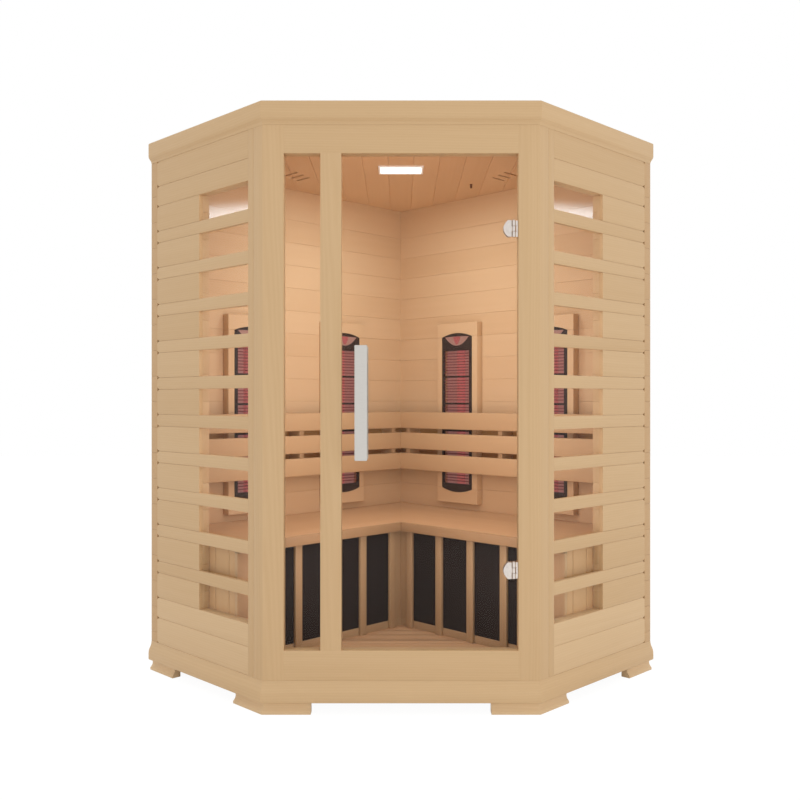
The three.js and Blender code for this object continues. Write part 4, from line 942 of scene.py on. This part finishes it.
def heater(side, row, placement):
    """Casing, housing, louvres, lens and element of one heater, drawn round p = 0 and moved along."""
    name = f"{side}_{row}_heater"
    low, high = placement.extent(f"{name}_casing")
    at = ((low[0] + high[0]) / 2, 0, 0)
    half, back, face = (high[0] - low[0]) / 2, low[1], high[1]
    opening = HEATER_HALF + 0.3
    casing = Piece(f"{name}_casing_wood", placement)
    top_rail = np.concatenate([
        [(-half, RAIL_HIGH)], bowed(opening, RAIL_HIGH, BOW)[::-1], [(half, RAIL_HIGH), (half, high[2])],
        [(-half, high[2])],
    ])
    low_rail = np.concatenate([
        [(-half, low[2]), (half, low[2]), (half, RAIL_LOW)], bowed(opening, RAIL_LOW, -BOW),
        [(-half, RAIL_LOW)],
    ])
    for rail in (top_rail, low_rail):
        casing.add(carried(eased(rail, 1.5), back, face, 2.5), "pzq", "p", at)
    for u0, u1 in ((-half, -opening), (opening, half)):
        stile = eased(rectangle(u0, u1, RAIL_LOW, RAIL_HIGH), 1.5)
        casing.add(carried(stile, back, face, 2.5), "pzq", "z", at)
    casing.finish(lining_wood, "lining_wood", f"{name}_casing")

    low, high = placement.extent(f"{name}_housing")
    back, face = low[1], high[1]
    housing = Piece(f"{name}_grille", placement)
    for plate in (BAND, CAP, SOLE):
        housing.add(carried(eased(plate, 1.2), back, face, 1.6), "pzq", at=at)
    for u0, u1 in ((-HEATER_HALF, -GRILLE_HALF), (GRILLE_HALF, HEATER_HALF)):
        side_bar = eased(rectangle(u0, u1, GRILLE_BOTTOM, GRILLE_TOP), 1.2)
        housing.add(carried(side_bar, back, face, 1.6), "pzq", at=at)
    for bottom in bay_bottoms[1:]:
        bar = rectangle(back, face, bottom - HEAVY_BAR, bottom)
        housing.add(carried(eased(bar, 2), -GRILLE_HALF, GRILLE_HALF), "qzp", "p", at)
    housing.finish(heater_black, "heater_black", f"{name}_housing")
    louvres = Piece(f"{name}_louvres", placement)
    for level in louvre_levels:
        bar = rectangle(back, face - LOUVRE_SETBACK, level - LOUVRE_BAR / 2, level + LOUVRE_BAR / 2)
        louvres.add(carried(eased(bar, 1.6), -GRILLE_HALF, GRILLE_HALF), "qzp", "p", at)
    louvres.finish(louvre_red, "heater_black")
    lens = Piece(f"{name}_lens", placement)
    lens.add(carried(eased(LENS, 0.8), back + 1, face - 2, 1.0), "pzq", at=at, tone=-1)
    lens.add(carried(eased(PUPIL, 0.5), face - 2, face - 1.2, 0.8), "pzq", at=at, tone=1)
    lens.finish(lens_glow, "heater_red")

    low, high = placement.extent(f"{name}_element")
    element = Piece(f"{name}_tube", placement)
    plate_face = high[1] - TUBE_RADIUS
    # Painted light: the reflector plate glows dimly, for the light of the tube that it mirrors.
    element.add(carried(eased(PLATE, 0.5), low[1], plate_face, 0.5), "pzq", at=at, tone=-1)
    angle = np.linspace(0, pi, 17)
    tube = np.stack([TUBE_RADIUS * np.cos(angle), plate_face + TUBE_RADIUS * np.sin(angle)], 1)
    element.add(carried(tube, RAIL_LOW + 12, RAIL_HIGH - 12, 3.0), "pqz", at=at, tone=1)
    element.finish(heater_glow, "heater_red", f"{name}_element")


for side, placement in SIDES.items():
    for row in ("inner", "outer"):
        heater(side, row, placement)
print(len(louvre_levels), "louvres in each heater", made[-5:])

# %% [markdown]
# ## Glass
# Clear panes let most light through and mirror a little, more at a slant: the share grows with the fifth
# power of the slant. It mixes a transparent shader with a glossy one, so that daylight still enters the
# cabin, and a faint noise keeps the reflection from being perfect.

# %% Glass
def pane(name, tint, roughness):
    """Mirrored share = (0.006 + 0.4 slant^5) (0.75 + 0.25 noise)."""
    finish = Finish(name)
    clear = finish.node("ShaderNodeBsdfTransparent", {}, {"Color": tint})
    gloss = finish.node("ShaderNodeBsdfGlossy", {}, {"Color": (1, 1, 1, 1), "Roughness": roughness})
    slant = finish.node("ShaderNodeLayerWeight", {}, {"Blend": 0.5}, "Facing")
    smear = finish.noise(finish.object_place(), 5.0, 3.0)
    share = (0.006 + slant**5 * 0.4) * (0.75 + smear * 0.25)
    return finish.done(finish.node("ShaderNodeMixShader", {}, {0: share, 1: clear, 2: gloss}))


def refinish(material, *nodes):
    """Gives CAD nodes whose shape is right their finish."""
    for node in nodes:
        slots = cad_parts[node].data.materials
        slots.clear()
        slots.append(material)


clear_glass = pane("clear_glass", (0.985, 0.995, 0.99, 1), 0.02)
refinish(clear_glass, "door_glass", "side_light_glass", "left_window_glass", "right_window_glass")
refinish(speaker_cloth, "left_speaker", "right_speaker")
refinish(dark_plastic, "control_box")
refinish(ceiling_wood, "ceiling_panel")
print("CAD nodes with new finishes:", 8)

# %% [markdown]
# ## Metal fittings of the door
# The handle is brushed: its roughness varies in fine lines across the bar. The hinges are polished and
# only a little cloudy. Both are metals, so their colour comes from what they mirror.

# %% Metals
def metal(name, first, second, stretch, roughness):
    """Noise drawn out along one axis mixes two close greys and moves the roughness."""
    finish = Finish(name)
    place = finish.stretched(finish.object_place(), stretch)
    lines = finish.noise(place, 1.0, 3.0)
    return finish.principled({
        "Base Color": finish.mix(lines, first, second),
        "Metallic": 1.0,
        "Roughness": roughness - 0.08 + lines * 0.16,
        "Normal": finish.bump(lines, 0.08, 0.0001),
    })


handle_metal = metal("handle_metal", srgb(198, 194, 188), srgb(219, 215, 209), (60, 60, 1800), 0.34)
hinge_metal = metal("hinge_metal", srgb(208, 198, 190), srgb(230, 221, 214), (90, 90, 90), 0.2)
print("metals", handle_metal.name, hinge_metal.name)

# %% [markdown]
# ## Handles
# A flat bar on two stand-offs outside, and its twin inside. The bar is its tall outline carried through
# its thickness, and a stand-off is turned, with a small foot where it meets the pane.

# %% Handles
HANDLE_BAR = 10
STANDOFF_INSET = 45
STANDOFF = 8

pane_low, pane_high = FRONT.extent("door_glass")
for node, outward in (("outer_handle", -1), ("inner_handle", 1)):
    low, high = FRONT.extent(node)
    glass, face = (pane_low[1], low[1]) if outward < 0 else (pane_high[1], high[1])
    bar_back = face - outward * HANDLE_BAR
    handle = Piece(f"{node}_bar", FRONT)
    outline = eased(rectangle(low[0], high[0], low[2], high[2]), 2.5)
    handle.add(carried(outline, min(face, bar_back), max(face, bar_back), 1.5), "pzq")
    span = abs(bar_back - glass) - 0.3
    neck = STANDOFF - 1.5
    profile = [(STANDOFF - 0.6, 0), (STANDOFF, 0.6), (STANDOFF, 3), (neck, 3.8), (neck, span)]
    for level in (low[2] + STANDOFF_INSET, high[2] - STANDOFF_INSET):
        points, faces = turned(profile)
        if outward < 0:
            points, faces = points * (1, 1, -1), [f[::-1] for f in faces]
        foot = ((low[0] + high[0]) / 2, glass + outward * 0.3, level)
        handle.add((points, faces), "pzq", at=foot)
    handle.finish(handle_metal, "handle_metal", node, body="door")
print(made[-2:])

# %% [markdown]
# ## Hinges
# Each hinge clamps the pane between two D-shaped cheeks. The clamp's middle knuckle turns on a pin between
# the two knuckles of the leaf, which is screwed to the jamb. A placement at the pin keeps the numbers
# small.

# %% Hinges
HINGE_AXIS = (349.921, 8)
HINGE_HALF = 26
CLAMP_START, CLAMP_END, CLAMP_BULGE = -7, -33, 14
CHEEK_BACK, CHEEK_FACE = 4.3, 9.3
BRIDGE = 4
KNUCKLE, KNUCKLE_HALF, PLAY = 6.5, 8, 0.6
LEAF_NEAR, LEAF_FAR, LEAF_FRONT = 9.7, 13.7, -2
PIN, PIN_HEAD = 2.5, 4
SCREW = 3.2

CHEEK = np.concatenate([
    [(CLAMP_START, -HINGE_HALF), (CLAMP_START, HINGE_HALF)],
    curve((CLAMP_END + CLAMP_BULGE, HINGE_HALF), (CLAMP_END - CLAMP_BULGE, 0),
          (CLAMP_END + CLAMP_BULGE, -HINGE_HALF), 16),
])
SCREW_HEAD = [(SCREW, 0), (SCREW, 0.4), (SCREW - 0.5, 0.8), (1.3, 0.8), (1.2, 0.3)]


def knuckle(z0, z1):
    """A short tube with softened ends, closed because the pin fills it."""
    return turned([(KNUCKLE - 0.6, z0), (KNUCKLE, z0 + 0.6), (KNUCKLE, z1 - 0.6), (KNUCKLE - 0.6, z1)])


for place in ("upper", "lower"):
    low, high = FRONT.extent(f"{place}_hinge_clamp")
    level = (low[2] + high[2]) / 2
    at_pin = Placement(FRONT.place((*HINGE_AXIS, level)), (1, 0, 0), (0, 1, 0))
    clamp = Piece(f"{place}_hinge_cheeks", at_pin)
    for q0, q1 in ((-CHEEK_FACE, -CHEEK_BACK), (CHEEK_BACK, CHEEK_FACE)):
        clamp.add(carried(eased(CHEEK, 1.5), q0, q1, 1.2), "pzq")
    bridge = rectangle(CLAMP_START - BRIDGE, CLAMP_START, -CHEEK_BACK, CHEEK_BACK)
    clamp.add(carried(eased(bridge, 0.5), -HINGE_HALF, HINGE_HALF, 0.5))
    clamp.add(knuckle(-KNUCKLE_HALF, KNUCKLE_HALF))
    neck = rectangle(CLAMP_START - 1, -2, -4, 4)
    clamp.add(carried(eased(neck, 0.5), 0.6 - KNUCKLE_HALF, KNUCKLE_HALF - 0.6))
    for z in (-13, 13):
        points, faces = turned(SCREW_HEAD, 16)
        clamp.add((points, faces), "pzq", at=(-20, CHEEK_FACE, z))
        clamp.add((points * (1, 1, -1), [f[::-1] for f in faces]), "pzq", at=(-20, -CHEEK_FACE, z))
    clamp.finish(hinge_metal, "hinge_metal", f"{place}_hinge_clamp", body="door")

    low, high = at_pin.extent(f"{place}_hinge_leaf")
    leaf = Piece(f"{place}_hinge_jamb_plate", at_pin)
    jamb_plate = eased(rectangle(LEAF_FRONT, high[1], -HINGE_HALF, HINGE_HALF), 2)
    leaf.add(carried(jamb_plate, LEAF_NEAR, LEAF_FAR, 0.8), "qzp")
    for z0, z1 in ((KNUCKLE_HALF + PLAY, HINGE_HALF), (-HINGE_HALF, -KNUCKLE_HALF - PLAY)):
        leaf.add(knuckle(z0, z1))
        arm = rectangle(2, LEAF_NEAR + 1, LEAF_FRONT, KNUCKLE - 0.5)
        leaf.add(carried(eased(arm, 0.5), z0 + 0.6, z1 - 0.6))
    spine = rectangle(KNUCKLE + PLAY, LEAF_NEAR + 1, LEAF_FRONT, KNUCKLE - 0.5)
    leaf.add(carried(eased(spine, 0.5), -KNUCKLE_HALF, KNUCKLE_HALF))
    for z in (-16, 0, 16):
        points, faces = turned(SCREW_HEAD, 16)
        leaf.add((points * (1, 1, -1), [f[::-1] for f in faces]), "qzp", at=(LEAF_NEAR, 18, z))
    leaf.finish(hinge_metal, "hinge_metal", f"{place}_hinge_leaf")

    pin = Piece(f"{place}_hinge_pin_turned", at_pin)
    pin.add(turned([
        (PIN, -HINGE_HALF), (PIN, HINGE_HALF), (PIN_HEAD, HINGE_HALF), (PIN_HEAD, HINGE_HALF + 1.4),
        (PIN_HEAD - 0.6, HINGE_HALF + 2),
    ], 20))
    pin.finish(hinge_metal, "hinge_metal", f"{place}_hinge_pin")
print(made[-6:])

# %% [markdown]
# ## Ceiling lamp and sensor
# A flat lamp hangs below the ceiling boards: a white frame of four mitred bars round a glowing sheet,
# and a neck that goes up through the boards. The small dark sensor probe is turned.

# %% Lamp and sensor
LAMP_RIM = 7
LAMP_NECK = 12

white_plastic = speckled("white_plastic", srgb(240, 238, 232), srgb(248, 246, 242), 40, {}, 0.4, 0.00005)
low, high = FRONT.extent("ceiling_lamp")
lamp = Piece("ceiling_lamp_frame", FRONT)
rim = rectangle(0, LAMP_RIM, low[2], WALL_TOP)
middle = (low[1] + high[1]) / 2
half_width, half_depth = (high[0] - low[0]) / 2, (high[1] - low[1]) / 2
for sign in (-1, 1):
    long_bar = eased(rim * (sign, 1) - (sign * half_depth, 0), 1.2)
    reach = half_width - half_depth
    lamp.add(carried(long_bar, (-reach, sign, 0), (reach, -sign, 0)), "qzp", "p", (0, middle, 0))
    short_bar = eased(rim * (sign, 1) - (sign * half_width, 0), 1.2)
    reach = half_depth - half_width
    lamp.add(carried(short_bar, (-reach, sign, 0), (reach, -sign, 0)), "pzq", "q", (0, middle, 0))
neck = rectangle(low[0] + LAMP_NECK, high[0] - LAMP_NECK, low[1] + LAMP_NECK, high[1] - LAMP_NECK)
lamp.add(carried(eased(neck, 1), WALL_TOP - 1, high[2], 0.5))
lamp.finish(white_plastic, "lamp_white", "ceiling_lamp")
diffuser = Piece("ceiling_lamp_diffuser", FRONT)
sheet = rectangle(low[0] + LAMP_RIM, high[0] - LAMP_RIM, low[1] + LAMP_RIM, high[1] - LAMP_RIM)
diffuser.add(carried(eased(sheet, 0.5), low[2] + 2, WALL_TOP - 1, 0.5), tone=1)
diffuser.finish(lamp_glow, "lamp_white")

low, high = FRONT.extent("temperature_sensor")
radius, drop = (high[0] - low[0]) / 2, high[2] - low[2]
stem = radius * 0.8
probe = [(1, 0), (radius * 0.5, 0.6), (stem, 2.5), (stem, drop - 4), (radius, drop - 3), (radius, drop)]
sensor = Piece("temperature_sensor_probe", FRONT)
sensor.add(turned(probe, 20), at=((low[0] + high[0]) / 2, (low[1] + high[1]) / 2, low[2]))
sensor.finish(sensor_brown, "dark_plastic", "temperature_sensor")
print(made[-3:])

# %% [markdown]
# ## Roof cover
# Nothing of the roof shows from the front, but from above it closes the cabin: a plain board with its
# grain across, let into the cornice. Its solid is right, so it only gets its finish.

# %% Roof cover
def cover_place(finish):
    """One wide board whose grain runs from left to right, cut flat from a thick trunk."""
    x, y, z = finish.parts(finish.object_place())
    grain = finish.node("ShaderNodeCombineXYZ", {}, {0: x, 1: y * 0.25, 2: z * 0.25 - 0.42})
    return grain, x * 0.1


cover_wood = wood("cover_wood", srgb(214, 186, 148), srgb(190, 156, 114), 0.6, cover_place)
refinish(cover_wood, "roof_cover")
print("pieces made:", len(made), "faces:", sum(count for name, count in made))

# %% [markdown]
# ## Light
# The photograph is a cut-out on white, lit evenly, with warm light inside. The world lights everything
# alike and is plain white to the camera and in reflections. One wide lamp in front models the mouldings.
# Inside, a cool lamp sits under the diffuser, a wide warm one behind the door stands in for the glow of
# the heaters and the wood, and two narrow blue-white ones wash the rear walls below the ceiling.

# %% World, floor and lamps
WORLD_LEVEL = 0.92


def seen_directly(finish):
    """1 for rays from the camera and rays that come by way of a mirror or through glass."""
    path = finish.node("ShaderNodeLightPath", {}, {}, "Is Camera Ray").socket.node.outputs
    camera_ray, glossy, through = (
        Value(finish, path[name]) for name in ("Is Camera Ray", "Is Glossy Ray", "Is Transmission Ray")
    )
    return camera_ray.maths("MAXIMUM", camera_ray.maths("MAXIMUM", camera_ray, glossy), through)


def background():
    finish = Finish("studio", bpy.data.worlds)
    light = finish.node("ShaderNodeBackground", {}, {"Color": (1, 0.985, 0.965, 1), "Strength": WORLD_LEVEL})
    white = finish.node("ShaderNodeBackground", {}, {"Color": (1, 1, 1, 1), "Strength": 1.0})
    both = finish.node("ShaderNodeMixShader", {}, {0: seen_directly(finish), 1: light, 2: white})
    return finish.node("ShaderNodeOutputWorld", {}, {"Surface": both})


def studio_floor(name, shadow):
    """Mostly plain white to the camera, with a share of real white surface that takes the shadow."""
    finish = Finish(name)
    surface = finish.node("ShaderNodeBsdfDiffuse", {}, {"Color": (0.9, 0.9, 0.9, 1)})
    white = finish.node("ShaderNodeEmission", {}, {"Color": (1, 1, 1, 1), "Strength": 1.06})
    share = seen_directly(finish) * (1 - shadow)
    return finish.done(finish.node("ShaderNodeMixShader", {}, {0: share, 1: surface, 2: white}))


def lamp_light(name, place, target, size, power, colour, spread=pi, turn=0.0):
    data = bpy.data.lights.new(name, "AREA")
    data.shape = "RECTANGLE"
    data.size, data.size_y = size
    data.energy = power
    data.color = colour
    data.spread = spread
    light = bpy.data.objects.new(name, data)
    light.location = place
    light.rotation_mode = "QUATERNION"
    aim = (Vector(target) - Vector(place)).to_track_quat("-Z", "Y")
    light.rotation_quaternion = aim @ Quaternion((0, 0, 1), turn)
    light.visible_camera = False
    light.visible_glossy = False
    scene.collection.objects.link(light)


scene.world = background()
ground = bpy.data.meshes.new("studio_floor")
ground.from_pydata([(-12, -12, 0), (12, -12, 0), (12, 12, 0), (-12, 12, 0)], [], [(0, 1, 2, 3)])
ground.materials.append(studio_floor("studio_floor", 0.1))
ground_object = bpy.data.objects.new("studio_floor", ground)
scene.collection.objects.link(ground_object)
ground_object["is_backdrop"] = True

lamp_low, lamp_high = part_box("ceiling_lamp")
lamp_place = (lamp_low + lamp_high) / 2
COOL, WARM, BLUE = (0.79, 0.92, 1), (1, 0.77, 0.75), (0.33, 0.55, 1)
lamp_light("key", (2.2, -4.2, 1.2), (0, 0, 0.9), (2.6, 2.2), 20, (1, 0.99, 0.97))
lamp_light("cabin_lamp", (0, lamp_place.y, lamp_low.z - 0.01), (0, lamp_place.y, 0), (0.15, 0.09), 4.0, COOL)
lamp_light("cabin_fill", FRONT.place((0, 75, 1000)), FRONT.place((0, 2000, 1000)), (0.7, 1.4), 5.6, WARM)
for (side, placement), turn in zip(SIDES.items(), (radians(12), radians(-12))):
    wash, aim = placement.place((950, 130, 1690)), placement.place((950, 40, 1690))
    lamp_light(f"{side}_wash", wash, aim, (0.3, 0.02), 0.105, BLUE, radians(60), turn)

# %% Sizes
low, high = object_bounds()
